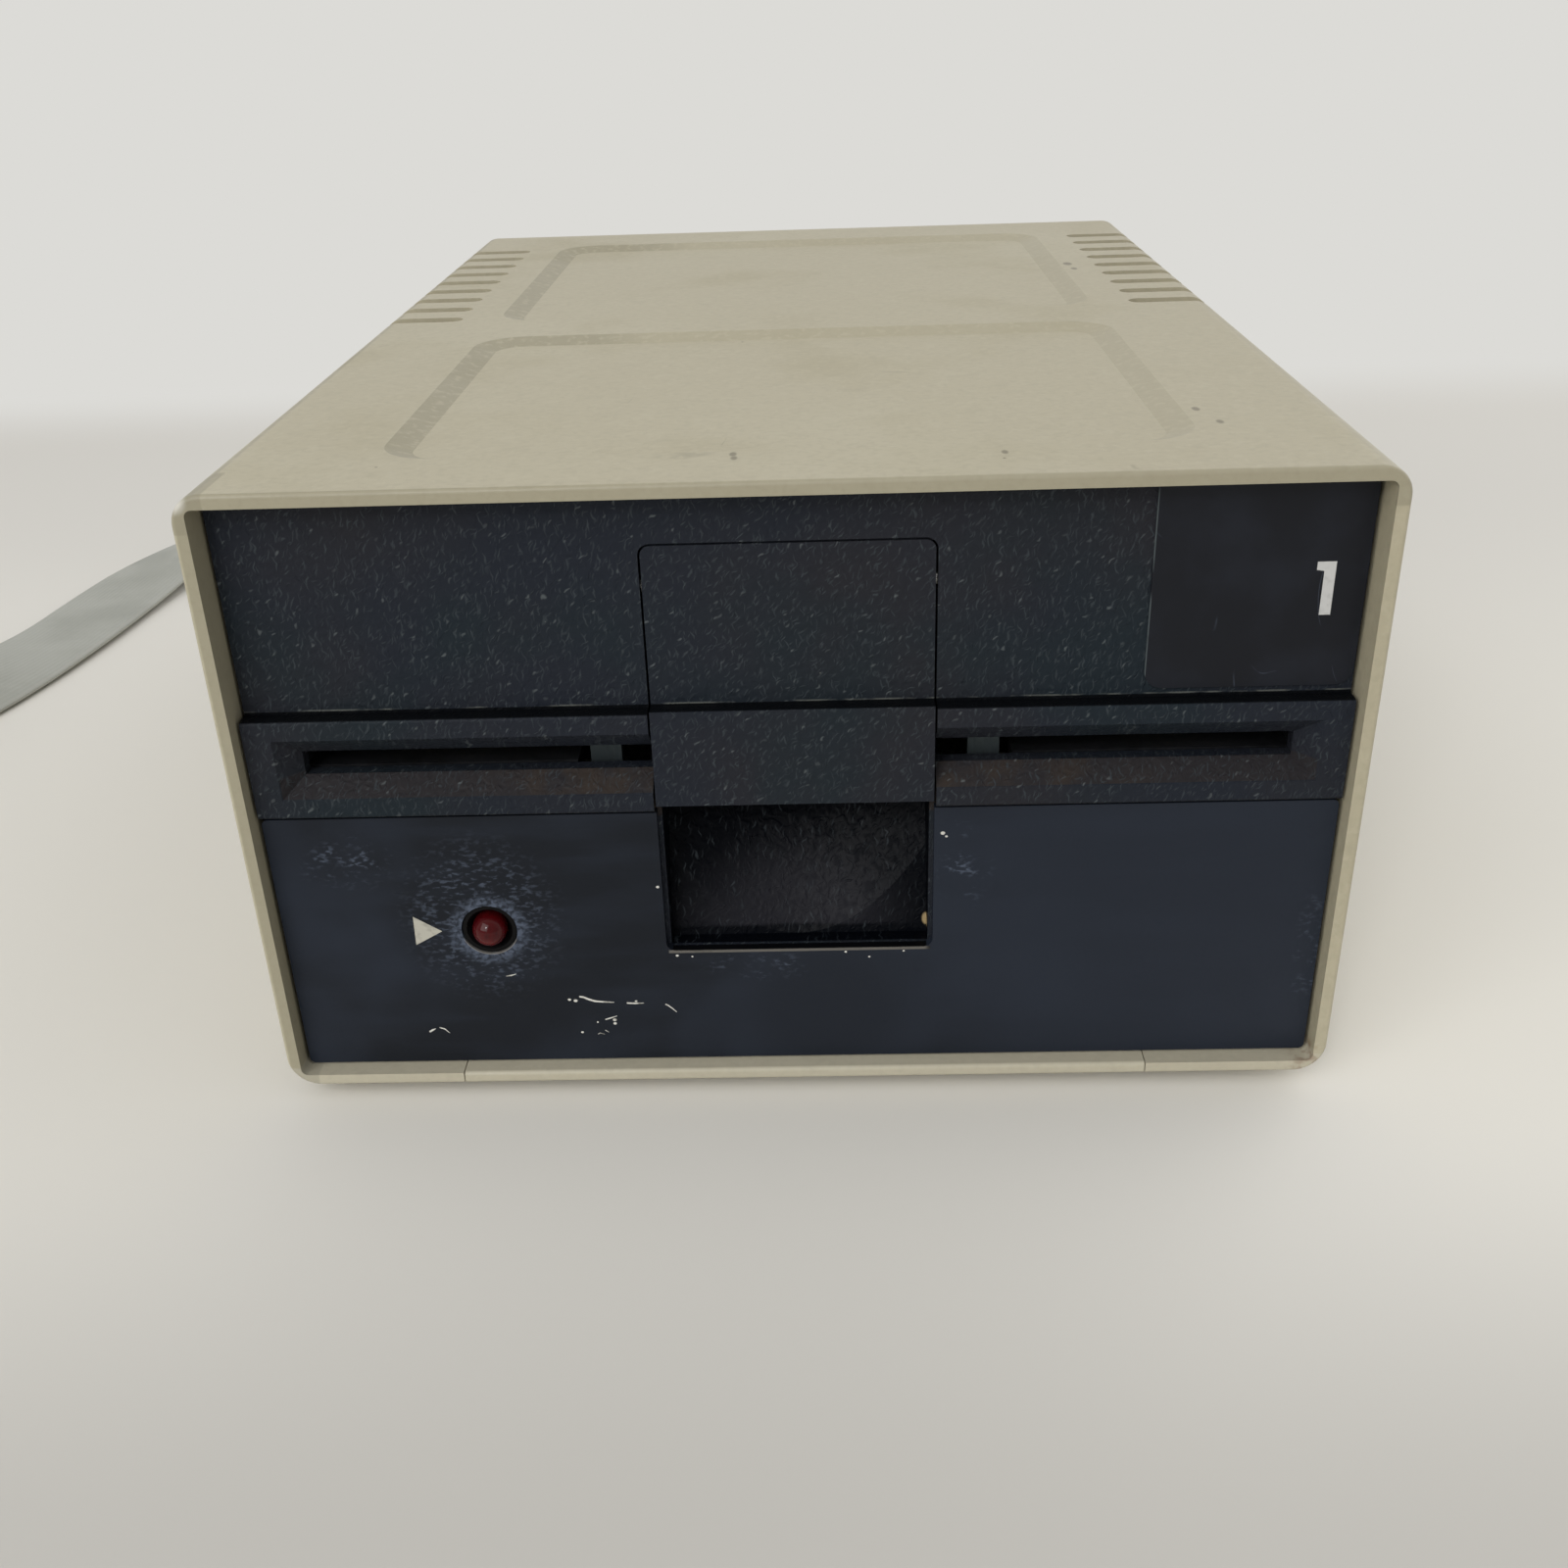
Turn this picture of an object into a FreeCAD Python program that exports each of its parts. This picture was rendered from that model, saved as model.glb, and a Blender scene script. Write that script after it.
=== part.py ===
import FreeCAD, Part
import math
import os

from FreeCAD import Vector

# External floppy disk drive, in millimetres.
# +X is right as seen from the front, +Y runs to the rear and +Z is up.
# The origin is in the middle of the footprint, on the surface the feet stand on.

# Case: one sheet wrapped round the top, the sides and both edges of the underside
case_width = 152.4
case_depth = 209.6
case_height = 90.4
sheet = 1.9
foot_height = 2.5
bend_top = 4.0
bend_bottom = 4.6
bend_inside = 1.0
edge_round = 0.6
base_half = 50.2
seam_gap = 0.15
lip_gap = 0.25

# Vent slots, over both top bends
vent_count = 9
vent_width = 3.9
vent_pitch = 9.8
vent_first = 108.3
vent_inset = 15.4
vent_drop = 14.9

# Stamped fields in the top
field_half = 54.0
field_slope = 3.6
field_drop = 1.0
field_corner = 8.0
front_field = (13.8, 91.3)
rear_field = (105.3, 193.3)

# Feet and fasteners
foot_radius = 7.0
foot_inset_x = 15.5
foot_inset_y = 16.8
screw_radius = 1.4
screw_head_radius = 2.7
screw_head = 1.5
screw_hole = 0.12
fit = 0.02
running = 0.05
clearance = 0.3

# Bezel, as depths behind the front rim of the case
bar_depth = 2.2
plate_depth = 2.7
panel_depth = 4.8
bezel_wall = 2.5
bezel_gap = 0.5
plate_thickness = 1.5
plate_gap = 0.3
label_width = 27.2
label_height = 28.2
label_thickness = 0.35
label_corner = 2.4

# Diskette slot: its middle is the media plane, and the bar around it tapers inwards
media_rise = 51.05
slot_height = 3.5
slot_half = 67.1
funnel_half = 70.0
funnel_below = 4.35
funnel_above = 4.65
funnel_length = 3.0
bar_below = 7.25
bar_above = 7.45

# Door in the middle of the bezel
door_half = 18.9
door_gap = 0.3
door_below = 6.3
door_above = 29.85
door_wall = 2.0
door_corner = 1.3
hinge_setback = 2.6
hinge_drop = 5.9
barrel_radius = 2.4
door_pin_radius = 1.2
ear_width = 3.2

# Finger recess below the door
recess_half = 18.4
recess_floor = 21.0
recess_entry = 4.3
recess_lean = 7.0
recess_wall = 1.8
dish_radius = 46.0
dish_reach = 30.0
dish_lean = 9.0
cutout_half = 19.0
cutout_corner = 1.4

# Lamp
lamp_x = -44.15
lamp_rise = 25.05
lamp_hole = 4.0
lamp_radius = 2.5
lamp_dome_depth = 3.2
bush_recess = 0.25

# Cast drive frame
frame_wall = 2.6
frame_side_gap = 1.3
frame_floor_gap = 2.6
frame_front_gap = 0.9
frame_rear_gap = 7.3
frame_rise = 12.45
deck_drop = 11.55
deck = 3.0
rib = 2.5
rib_depth = 6.0
rib_half = 38.0
rib_ahead = 27.0
rib_behind = 78.0
notch_half = 22.0
window_half = 24.0
window_corner = 4.0
windows_ahead = 8.0
windows_behind = 72.0
pad_half = 7.0
pad_inset = 11.0
pad_ahead = 8.0
pad_behind = 70.0
guide_screw_ahead = 40.0
guide_screw_behind = 50.0
guide_shelf_inner = 30.0
guide_scallop = 16.0
deck_window_edge = 8.0
deck_window_ahead = (27.0, 12.0, 32.0)
deck_window_behind = (42.0, 12.0, 62.0)

# Spindle, belt and drive motor
spindle_setback = 74.8
spindle_radius = 4.0
hub_radius = 18.0
hub_thickness = 3.0
hub_recess_radius = 13.8
hub_recess = 1.8
hub_drop = 1.55
bearing_radius = 11.0
bearing_width = 7.0
boss_radius = 17.0
boss_length = 17.5
pulley_radius = 30.0
pulley_width = 9.0
motor_pulley_radius = 6.0
belt_width = 5.0
belt_thickness = 0.8
belt_gap = 0.2
motor_x = -50.5
motor_setback = 108.0
motor_radius = 18.5
motor_headroom = 2.0
motor_shaft_radius = 1.6

# Clamp arm with its cone
arm_half = 30.0
arm_bar = 4.0
arm_pivot_setback = 74.0
arm_pivot_rise = 13.45
arm_pin_radius = 2.0
arm_tab_inner = 23.9
arm_tab_outer = 28.2
arm_tab_thickness = 1.5
arm_tab_depth = 8.8
arm_tab_drop = 3.15
cone_pin_radius = 3.0
cone_shoulder = 8.0
cone_neck = 6.0
spring_behind = 10.0

# Head carriage on two rods, driven by a spiral groove
track_zero_radius = 57.15
track_pitch = 25.4 / 48
track_count = 35
degrees_per_track = 15.0
rod_radius = 2.4
rod_half = 24.0
rod_rise = 5.5
carriage_length = 18.0
follower_radius = 1.5
load_hinge_inset = 4.0
load_hinge_rise = 5.8
groove_gap = 0.2
groove_depth = 2.5
groove_start = 8.0
cam_setback = 31.0
cam_radius = 28.0
cam_thickness = 4.0
stepper_radius = 21.0
stepper_height = 22.0
stepper_shaft_radius = 2.5

# Circuit boards
board = 1.6
board_half = 66.0
board_front = 34.8
board_rear = 162.8
board_drop = 11.0
board_hole_x = 62.0
chip_rows = (0.2, 0.45)
chip_columns = 4
chip_pitch = 28.0
chip_size = (19.2, 6.4, 4.2)
capacitor_row = 0.75
capacitor_count = 5
capacitor_first = -8.0
capacitor_pitch = 12.0
capacitor_radius = 3.2
capacitor_height = 7.4
speed_board_gap = 15.0
speed_board_half = 16.0
speed_board_shift = 5.0
speed_post_inset = 3.5
speed_post_rise = 4.0

# Ribbon cable
ribbon_width = 25.4
ribbon_thickness = 1.1
ribbon_x = -40.0
ribbon_exit_rise = 11.5
socket_half = 15.0
coil_x = -262.0
coil_y = -30.0
coil_outer = 50.0
coil_inner = 17.0
coil_rise = 1.3
connector_size = (8.5, 12.0, 30.2)
pin_count = 20
pin_pitch = 2.54
pin_hole = 0.8
ribbon_slot_side = 2.2
ribbon_slot_half = 2.1

# Planes that follow from the sizes above
half_width = case_width / 2
inner_half = half_width - sheet
front = -case_depth / 2
rear = case_depth / 2
case_floor = foot_height
case_top = case_floor + case_height
inner_floor = case_floor + sheet
inner_top = case_top - sheet
bezel_half = inner_half - bezel_gap
bar_front = front + bar_depth
plate_front = front + plate_depth
plate_back = plate_front + plate_thickness
panel_front = front + panel_depth
panel_back = panel_front + bezel_wall
lower_back = plate_back + bezel_wall
media_z = case_floor + media_rise
slot_bottom = media_z - slot_height / 2
slot_top = media_z + slot_height / 2
bar_bottom = media_z - bar_below
bar_top = media_z + bar_above
door_bottom = media_z - door_below
door_top = media_z + door_above
hinge_y = panel_front + hinge_setback
hinge_z = door_top - hinge_drop
recess_z = case_floor + recess_floor
lamp_z = case_floor + lamp_rise
frame_half = inner_half - frame_side_gap
frame_inner = frame_half - frame_wall
frame_bottom = inner_floor + frame_floor_gap
frame_top = media_z + frame_rise
frame_front = panel_back + frame_front_gap
frame_rear = rear - frame_rear_gap
deck_top = media_z - deck_drop
deck_bottom = deck_top - deck
spindle_y = front + spindle_setback
hub_face = media_z - hub_drop
hub_bottom = hub_face - hub_thickness
boss_top = hub_bottom - 0.5
boss_bottom = boss_top - boss_length
pulley_top = boss_bottom - 2.0
pulley_bottom = pulley_top - pulley_width
motor_y = spindle_y + motor_setback
arm_pivot_y = spindle_y + arm_pivot_setback
arm_pivot_z = media_z + arm_pivot_rise
arm_front = front + arm_tab_depth
head_y = spindle_y + track_zero_radius
rod_z = deck_top + rod_rise
carriage_front = head_y - 3.15
carriage_rear = carriage_front + carriage_length
carriage_top = rod_z + 3.0
cam_bottom = deck_top + 1.5
cam_top = cam_bottom + cam_thickness
cam_y = carriage_rear + cam_setback
follower_y = cam_y - groove_start
head_travel = (track_count - 1) * track_pitch
cam_turn = math.radians((track_count - 1) * degrees_per_track)
cam_rise = head_travel / cam_turn
board_z = inner_top - board_drop
speed_z = deck_top + speed_post_rise
board_y = (front + board_front, front + board_rear)
ribbon_z = case_floor + ribbon_exit_rise
coil_z = coil_rise + ribbon_width / 2
coil_bottom = coil_rise - clearance
coil_top = coil_z + ribbon_width / 2
X = Vector(1, 0, 0)
Y = Vector(0, 1, 0)
Z = Vector(0, 0, 1)


def block(x, y, z):
    """Box between pairs of limits."""
    corner = Vector(x[0], y[0], z[0])
    return Part.makeBox(x[1] - x[0], y[1] - y[0], z[1] - z[0], corner)


def around(middle, half):
    return (middle - half, middle + half)


def rod(start, axis, length, radius):
    return Part.makeCylinder(radius, length, Vector(*start), axis)


def post(x, y, z, radius):
    """Upright cylinder between two heights."""
    return rod((x, y, z[0]), Z, z[1] - z[0], radius)


def joined(first, *others):
    return first.fuse(list(others)).removeSplitter()


def mirrored(shape):
    return shape.mirror(Vector(0, 0, 0), X)


def pair(shape):
    return [shape, mirrored(shape)]


def profile(points):
    """Face from a list of corner points."""
    return Part.Face(Part.makePolygon(points + [points[0]]))


def side_prism(points, x):
    """Outline given as (y, z), extruded along X."""
    corners = [Vector(x[0], y, z) for y, z in points]
    return profile(corners).extrude(X * (x[1] - x[0]))


def front_prism(points, y):
    """Outline given as (x, z), extruded along Y."""
    corners = [Vector(x, y[0], z) for x, z in points]
    return profile(corners).extrude(Y * (y[1] - y[0]))


def turned(points, x, y):
    """Outline given as (radius, z), revolved about an upright axis."""
    corners = [Vector(x + radius, y, z) for radius, z in points]
    return profile(corners).revolve(Vector(x, y, 0), Z, 360)


def softened(shape, radius, axis, pick=None):
    """Round the straight edges that run along one axis."""
    edges = []
    for edge in shape.Edges:
        along = edge.tangentAt(edge.FirstParameter).cross(axis).Length < 0.01
        if along and (pick is None or pick(edge.CenterOfMass)):
            edges.append(edge)
    return shape.makeFillet(radius, edges)


def screw(start, axis, grip, radius=screw_radius, head=screw_head):
    """Pan-head screw: the head's seat is at the start, and the shank runs along the axis."""
    seat = Vector(*start)
    shank = Part.makeCylinder(radius, grip, seat, axis)
    cap = Part.makeCone(screw_head_radius, screw_head_radius * 0.75, head, seat, axis * -1)
    return joined(shank, cap)


# ---------------------------------------------------------------- case


def field(limits, top):
    """One stamped field as a shallow frustum with rounded corners."""
    wires = []
    for inset, z in ((0, top), (field_slope, top - field_drop)):
        y = (front + limits[0] + inset, front + limits[1] - inset)
        plate = block(around(0, field_half - inset), y, (z - 1, z))
        plate = softened(plate, field_corner - inset, Z)
        wires.append(plate.slice(Z, z - 0.5)[0].translate(Z * 0.5))
    return Part.makeLoft(wires, True, True)


def vent(y):
    """Cutter for one slot: rounded at its inner end on top and at its lower end on the side."""
    radius = vent_width / 2
    inner = half_width - vent_inset + radius
    low = case_top - vent_drop + radius
    across = (inner, half_width + sheet)
    cutter = block(across, around(y, radius), (low, case_top + sheet))
    top_end = post(inner, y, (low, case_top + sheet), radius)
    side_end = rod((inner, y, low), X, across[1] - across[0], radius)
    return joined(cutter, top_end, side_end)


def case_shell():
    outer = block(around(0, half_width), (front, rear), (case_floor, case_top))
    middle = (case_floor + case_top) / 2
    outer = softened(outer, bend_top, Y, lambda p: p.z > middle)
    outer = softened(outer, bend_bottom, Y, lambda p: p.z < middle)
    rims = [edge for edge in outer.Edges if abs(edge.BoundBox.YMax - edge.BoundBox.YMin) < 0.01]
    outer = outer.makeFillet(edge_round, rims)
    hollow = block(around(0, inner_half), (front - 1, rear + 1), (inner_floor, inner_top))
    hollow = softened(hollow, bend_inside, Y)
    gap = block(around(0, base_half), (front - 1, rear + 1), (case_floor - 1, inner_floor + 1))
    shell = outer.cut([hollow, gap])
    fields = [field(front_field, case_top), field(rear_field, case_top)]
    below = [shape.translated(Z * -sheet) for shape in fields]
    shell = shell.fuse(below).cut(fields)
    cutters = []
    for index in range(vent_count):
        cutters += pair(vent(front + vent_first + index * vent_pitch))
    for place in case_screw_places() + frame_screw_places():
        cutters.append(post(*place, (case_floor - 1, inner_floor + 1), screw_radius + screw_hole))
    return shell.cut(cutters)


def case_screw_places():
    return [(side * (base_half + 5.8), y) for side in (-1, 1) for y in tab_places()]


def tab_places():
    return [share * case_depth for share in (-0.286, 0.0, 0.286)]


def frame_screw_places():
    return [(side * (frame_half - pad_inset), y) for side in (-1, 1) for y in pad_places()]


def pad_places():
    return [spindle_y - pad_ahead, spindle_y + pad_behind]


def base_pan():
    """Floor strip and rear wall folded from one sheet, with three tabs over each lip of the case."""
    half = base_half - seam_gap
    wall_half = inner_half - clearance
    wall = (rear - sheet - clearance, rear - clearance)
    floor = block(around(0, half), (front, wall[1]), (case_floor, inner_floor))
    floor = softened(floor, edge_round, X, lambda p: p.y < 0)
    back = block(around(0, wall_half), wall, (inner_floor + 0.5, inner_top - clearance))
    back = softened(back, 2.0, Y, lambda p: p.z > media_z)
    root = block(around(0, half), wall, (case_floor, inner_floor + 1))
    root = softened(root, 1.6, X, lambda p: p.y > wall[0] + 0.5 and p.z < inner_floor)
    pieces = [back, root]
    flange_y = (frame_rear + clearance, wall[0])
    flange = block((wall_half - sheet, wall_half), flange_y, (frame_bottom + 8, inner_top - 14.0))
    pieces += pair(softened(flange, 2.0, X, lambda p: p.y < wall[0] - 1))
    tab = (inner_floor + lip_gap, inner_floor + lip_gap + 1.5)
    for y in tab_places():
        strap = block((half - 4, base_half + 9.8), around(y, 8), tab)
        strap = softened(strap, 3.0, Z, lambda p: p.x > base_half)
        joggle = block((half - 4, half), around(y, 8), (inner_floor - 0.5, tab[1]))
        pieces += pair(joined(strap, joggle))
    pan = joined(floor, *pieces)
    cutters = [post(x, y, (case_floor, tab[1] + 1), screw_radius + fit) for x, y in case_screw_places()]
    opening_x = around(ribbon_x, ribbon_width / 2 + ribbon_slot_side)
    opening = block(opening_x, (wall[0] - 1, wall[1] + 1), around(ribbon_z, ribbon_slot_half))
    return pan.cut(cutters + [opening])


def foot_places():
    x = half_width - foot_inset_x
    y = rear - foot_inset_y
    return [(side * x, end * y) for side in (-1, 1) for end in (-1, 1)]


def rubber_feet():
    outline = [
        (2.2, foot_height),
        (foot_radius, foot_height),
        (foot_radius - 0.5, 0.4),
        (foot_radius - 0.9, 0),
        (3.4, 0),
        (3.0, 0.8),
        (2.2, 0.8),
    ]
    return Part.makeCompound([turned(outline, x, y) for x, y in foot_places()])


def case_screws():
    grip = inner_floor + lip_gap + 1.5 - case_floor
    return Part.makeCompound([screw((x, y, case_floor), Z, grip) for x, y in case_screw_places()])


def frame_screws():
    grip = sheet + frame_floor_gap
    return Part.makeCompound([screw((x, y, case_floor), Z, grip) for x, y in frame_screw_places()])


def cable_grommet():
    """Rubber frame that lines the slot where the ribbon leaves the rear wall."""
    wall = (rear - sheet - clearance, rear - clearance)
    half_x = ribbon_width / 2 + ribbon_slot_side
    sleeve = block(around(ribbon_x, half_x - fit), wall, around(ribbon_z, ribbon_slot_half - fit))
    flange_z = around(ribbon_z, ribbon_slot_half + 1.5)
    flange = block(around(ribbon_x, half_x + 1.6), (wall[0] - 1.2, wall[0]), flange_z)
    flange = softened(flange, 1.5, Y)
    passage = block(
        around(ribbon_x, ribbon_width / 2 + clearance),
        (wall[0] - 2, wall[1] + 1),
        around(ribbon_z, ribbon_thickness / 2 + clearance),
    )
    return joined(sleeve, flange).cut(passage)


# ---------------------------------------------------------------- bezel and door


def bezel_screw_places():
    x = bezel_half - 13.8
    low = frame_bottom + 7.0
    return [(side * x, z) for side in (-1, 1) for z in (low, low + 20.0)]


def funnel():
    """Tapered mouth and straight throat of the diskette slot."""
    wires = []
    mouth = (funnel_half, media_z - funnel_below, media_z + funnel_above, bar_front)
    throat = (slot_half, slot_bottom, slot_top, bar_front + funnel_length)
    for half, low, high, y in (mouth, throat):
        corners = [(-half, low), (half, low), (half, high), (-half, high), (-half, low)]
        wires.append(Part.makePolygon([Vector(x, y, z) for x, z in corners]))
    taper = Part.makeLoft(wires, True, True)
    straight = block(around(0, slot_half), (throat[3], panel_back + 1), (slot_bottom, slot_top))
    return taper.fuse(straight)


def recess_hollow():
    """Space of the finger recess: a leaning back with a dish that deepens upwards."""
    top = slot_bottom - 2.0
    entry = plate_back + recess_entry - plate_thickness
    side = [
        (bar_front - 1, recess_z),
        (entry, recess_z),
        (entry + recess_lean, top + 1),
        (bar_front - 1, top + 1),
    ]
    space = side_prism(side, around(0, recess_half))
    lean = math.atan2(recess_lean + dish_lean, top - recess_z)
    axis = Vector(0, math.sin(lean), math.cos(lean))
    foot = Vector(0, entry, recess_z) - Vector(0, math.cos(lean), -math.sin(lean)) * dish_radius
    dish = Part.makeCylinder(dish_radius, 3 * dish_reach, foot - axis * dish_reach, axis)
    behind = block(around(0, recess_half), (entry - 3, entry + dish_reach), (recess_z, top + 1))
    return space.fuse(dish.common(behind))


def recess_tub():
    """Walls of the finger recess, behind the lower part of the bezel."""
    top = slot_bottom - 2.0
    entry = plate_back + recess_entry - plate_thickness
    wall = recess_wall
    side = [
        (lower_back - 1, recess_z - wall),
        (entry + wall + 1, recess_z - wall),
        (entry + recess_lean + dish_lean + wall, top - 3),
        (entry + recess_lean + dish_lean + wall, top),
        (lower_back - 1, top),
    ]
    return side_prism(side, around(0, recess_half + wall))


def front_bezel():
    upper = block(around(0, bezel_half), (panel_front, panel_back), (bar_bottom, inner_top - clearance))
    upper = softened(upper, bend_inside, Y, lambda p: p.z > media_z)
    bar = block(around(0, bezel_half), (bar_front, panel_back), (bar_bottom, bar_top))
    bar = softened(bar, 0.5, X, lambda p: p.y < bar_front + 0.1)
    lower = block(around(0, bezel_half), (plate_back, lower_back), (inner_floor + clearance, bar_bottom + 1))
    web_x = around(0, recess_half + recess_wall)
    web = block(web_x, (plate_back, panel_back), around(bar_bottom, 1))
    pieces = [bar, lower, web, recess_tub()]
    strip = block((frame_inner, frame_half), (panel_back - 0.5, frame_front), (bar_top, frame_top))
    pieces += pair(strip)
    for x, z in bezel_screw_places():
        pieces.append(rod((x, lower_back - 0.5, z), Y, frame_front - lower_back + 0.5, 4.0))
    ear = block((door_half + door_gap, door_half + door_gap + ear_width), (panel_back - 0.5, hinge_y + 2.6),
                around(hinge_z, 3.0))
    ear = softened(ear, 2.0, X, lambda p: p.y > hinge_y)
    pieces += pair(ear)
    ridge_y = (panel_back - 0.5, panel_back + 1.6)
    ridge = block((door_half + 14, door_half + 16), ridge_y, (bar_top, inner_top - 6))
    pieces += pair(ridge)
    bezel = joined(upper, *pieces)
    opening_half = door_half + door_gap
    reach = math.hypot(hinge_setback, hinge_drop) + door_gap + 0.05
    skin_z = (door_bottom - 1, door_top + door_gap)
    skin = block(around(0, opening_half), (bar_front - 1, panel_front + 0.5), skin_z)
    skin = softened(skin, door_corner + door_gap, Y, lambda p: p.z > media_z)
    doorway = block(around(0, opening_half), (bar_front - 1, panel_back + 0.05), (door_bottom - 1, hinge_z))
    crown = rod((-opening_half, hinge_y, hinge_z), X, 2 * opening_half, reach)
    crown_y = (panel_front + 0.5, panel_back + 9)
    crown = crown.common(block(around(0, opening_half), crown_y, (hinge_z - 9, door_top + 9)))
    cutters = [funnel(), recess_hollow(), skin, doorway, crown]
    cutters.append(rod((lamp_x, plate_back - 1, lamp_z), Y, bezel_wall + 2, lamp_hole))
    cutters.append(rod((-half_width, hinge_y, hinge_z), X, case_width, door_pin_radius + fit))
    for x, z in bezel_screw_places():
        cutters.append(rod((x, plate_back + 0.6, z), Y, 9, screw_radius + fit))
    return bezel.cut(cutters)


def front_plate():
    z = (inner_floor + plate_gap, bar_bottom - plate_gap)
    plate = block(around(0, bezel_half - 0.1), (plate_front, plate_back), z)
    plate = softened(plate, 0.8, Y)
    cutout = block(around(0, cutout_half), (plate_front - 1, plate_back + 1), (recess_z, z[1] + 5))
    cutout = softened(cutout, cutout_corner, Y, lambda p: p.z < recess_z + 1)
    hole = rod((lamp_x, plate_front - 1, lamp_z), Y, plate_thickness + 2, lamp_hole)
    return plate.cut([cutout, hole])


def drive_label():
    right = bezel_half - 0.2
    z = (inner_top - clearance - 0.2 - label_height, inner_top - clearance - 0.2)
    label = block((right - label_width, right), (panel_front - label_thickness, panel_front), z)
    return softened(label, label_corner, Y, lambda p: p.z < media_z + 20)


def lamp_bush():
    """Conical ring round the lamp, held by a flange behind the bezel."""
    y = plate_front + bush_recess
    outline = [
        (lamp_hole - clearance / 2, y),
        (lamp_hole - clearance / 2, lower_back),
        (lamp_hole + 1.5, lower_back),
        (lamp_hole + 1.5, lower_back + 1.2),
        (lamp_radius + fit, lower_back + 1.2),
        (lamp_radius + fit, y + 1.3),
        (lamp_hole - 0.7, y),
    ]
    corners = [Vector(lamp_x + radius, depth, lamp_z) for radius, depth in outline]
    return profile(corners).revolve(Vector(lamp_x, 0, lamp_z), Y, 360)


def lamp_lens():
    """Domed lamp with a rim that stops it in the bush."""
    centre = front + lamp_dome_depth
    back = lower_back + 1.2
    dome = Part.makeSphere(lamp_radius, Vector(lamp_x, centre, lamp_z))
    ahead = block(around(lamp_x, 5), (centre - 5, centre), around(lamp_z, 5))
    barrel = rod((lamp_x, centre, lamp_z), Y, back - centre, lamp_radius)
    rim = rod((lamp_x, back, lamp_z), Y, 1.0, lamp_radius + 0.45)
    return joined(dome.common(ahead), barrel, rim)


def door():
    """Curved crown about the hinge, flat upper part, ledge and proud lower part, with two cheeks."""
    low_front = bar_front
    ledge = bar_top + 0.3
    reach = math.hypot(hinge_setback, hinge_drop)
    start = Vector(-door_half, panel_front, door_top)
    angle = math.radians(100)
    bulge = Vector(-door_half, hinge_y + reach * math.cos(angle), hinge_z + reach * math.sin(angle))
    crest = Vector(-door_half, hinge_y, hinge_z + reach)
    under = Vector(-door_half, hinge_y, hinge_z + reach - door_wall)
    back = panel_front + door_wall
    inside = math.sqrt((reach - door_wall) ** 2 - (hinge_y - back) ** 2)
    points = [
        (back, hinge_z + inside),
        (back, ledge - door_wall),
        (low_front + door_wall, ledge - door_wall),
        (low_front + door_wall, door_bottom),
        (low_front, door_bottom),
        (low_front, ledge),
        (panel_front, ledge),
    ]
    corners = [under] + [Vector(-door_half, y, z) for y, z in points] + [start]
    edges = [Part.makeLine(a, b) for a, b in zip(corners, corners[1:])]
    edges.append(Part.Arc(start, bulge, crest).toShape())
    edges.append(Part.makeLine(crest, under))
    body = Part.Face(Part.Wire(edges)).extrude(X * 2 * door_half)
    crown_z = (door_bottom - 1, hinge_z + reach)
    round_off = block(around(0, door_half), (bar_front - 1, panel_back + 9), crown_z)
    front_skin = block(around(0, door_half), (bar_front - 1, panel_front + 0.6), (door_bottom - 1, door_top))
    front_skin = softened(front_skin, door_corner, Y, lambda p: p.z > media_z)
    behind = block(around(0, door_half - 0.4), (panel_front + 0.6, panel_back + 9), crown_z)
    body = body.common(round_off).common(front_skin.fuse(behind))
    cheek_points = [
        (low_front + door_wall - 0.5, door_bottom + 1.2),
        (panel_back + 0.4, door_bottom + 4.0),
        (panel_back + 0.4, hinge_z),
        (panel_front + 1, hinge_z),
        (panel_front + 1, ledge - 1),
        (low_front + door_wall - 0.5, ledge - 1),
    ]
    cheek = side_prism(cheek_points, (door_half - 0.4 - 1.8, door_half - 0.4))
    barrel = rod((-door_half + 0.4, hinge_y, hinge_z), X, 2 * door_half - 0.8, barrel_radius)
    whole = joined(body, barrel, *pair(cheek))
    bore = rod((-door_half - 1, hinge_y, hinge_z), X, 2 * door_half + 2, door_pin_radius + running)
    return whole.cut(bore)


def door_pin():
    half = door_half + door_gap + ear_width
    return rod((-half, hinge_y, hinge_z), X, 2 * half, door_pin_radius)


def bezel_screws():
    seat = frame_front + frame_wall
    grip = frame_wall + frame_front - plate_back - 0.8
    screws = [screw((x, seat, z), Y * -1, grip) for x, z in bezel_screw_places()]
    return Part.makeCompound(screws)


# ---------------------------------------------------------------- drive frame


def board_post_places():
    return [(side * board_hole_x, y) for side in (-1, 1) for y in (board_y[0] + 8, board_y[1] - 8)]


def stepper_screw_places():
    reach = stepper_radius - 4.0
    return [(x, cam_y + y) for x in (-reach, reach) for y in (-reach, reach)]


def motor_screw_places():
    return [(motor_x + offset, motor_y) for offset in (-11.0, 11.0)]


def guide_screw_places():
    return [spindle_y - guide_screw_ahead, spindle_y + guide_screw_behind]


def speed_board_box():
    x = (stepper_radius + speed_board_gap, frame_inner - 4.4)
    return x, around(cam_y + speed_board_shift, speed_board_half)


def speed_post_places():
    x, y = speed_board_box()
    inset = speed_post_inset
    return [(x[0] + inset, y[0] + inset), (x[1] - inset, y[0] + inset), (x[1] - inset, y[1] - inset)]


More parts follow.
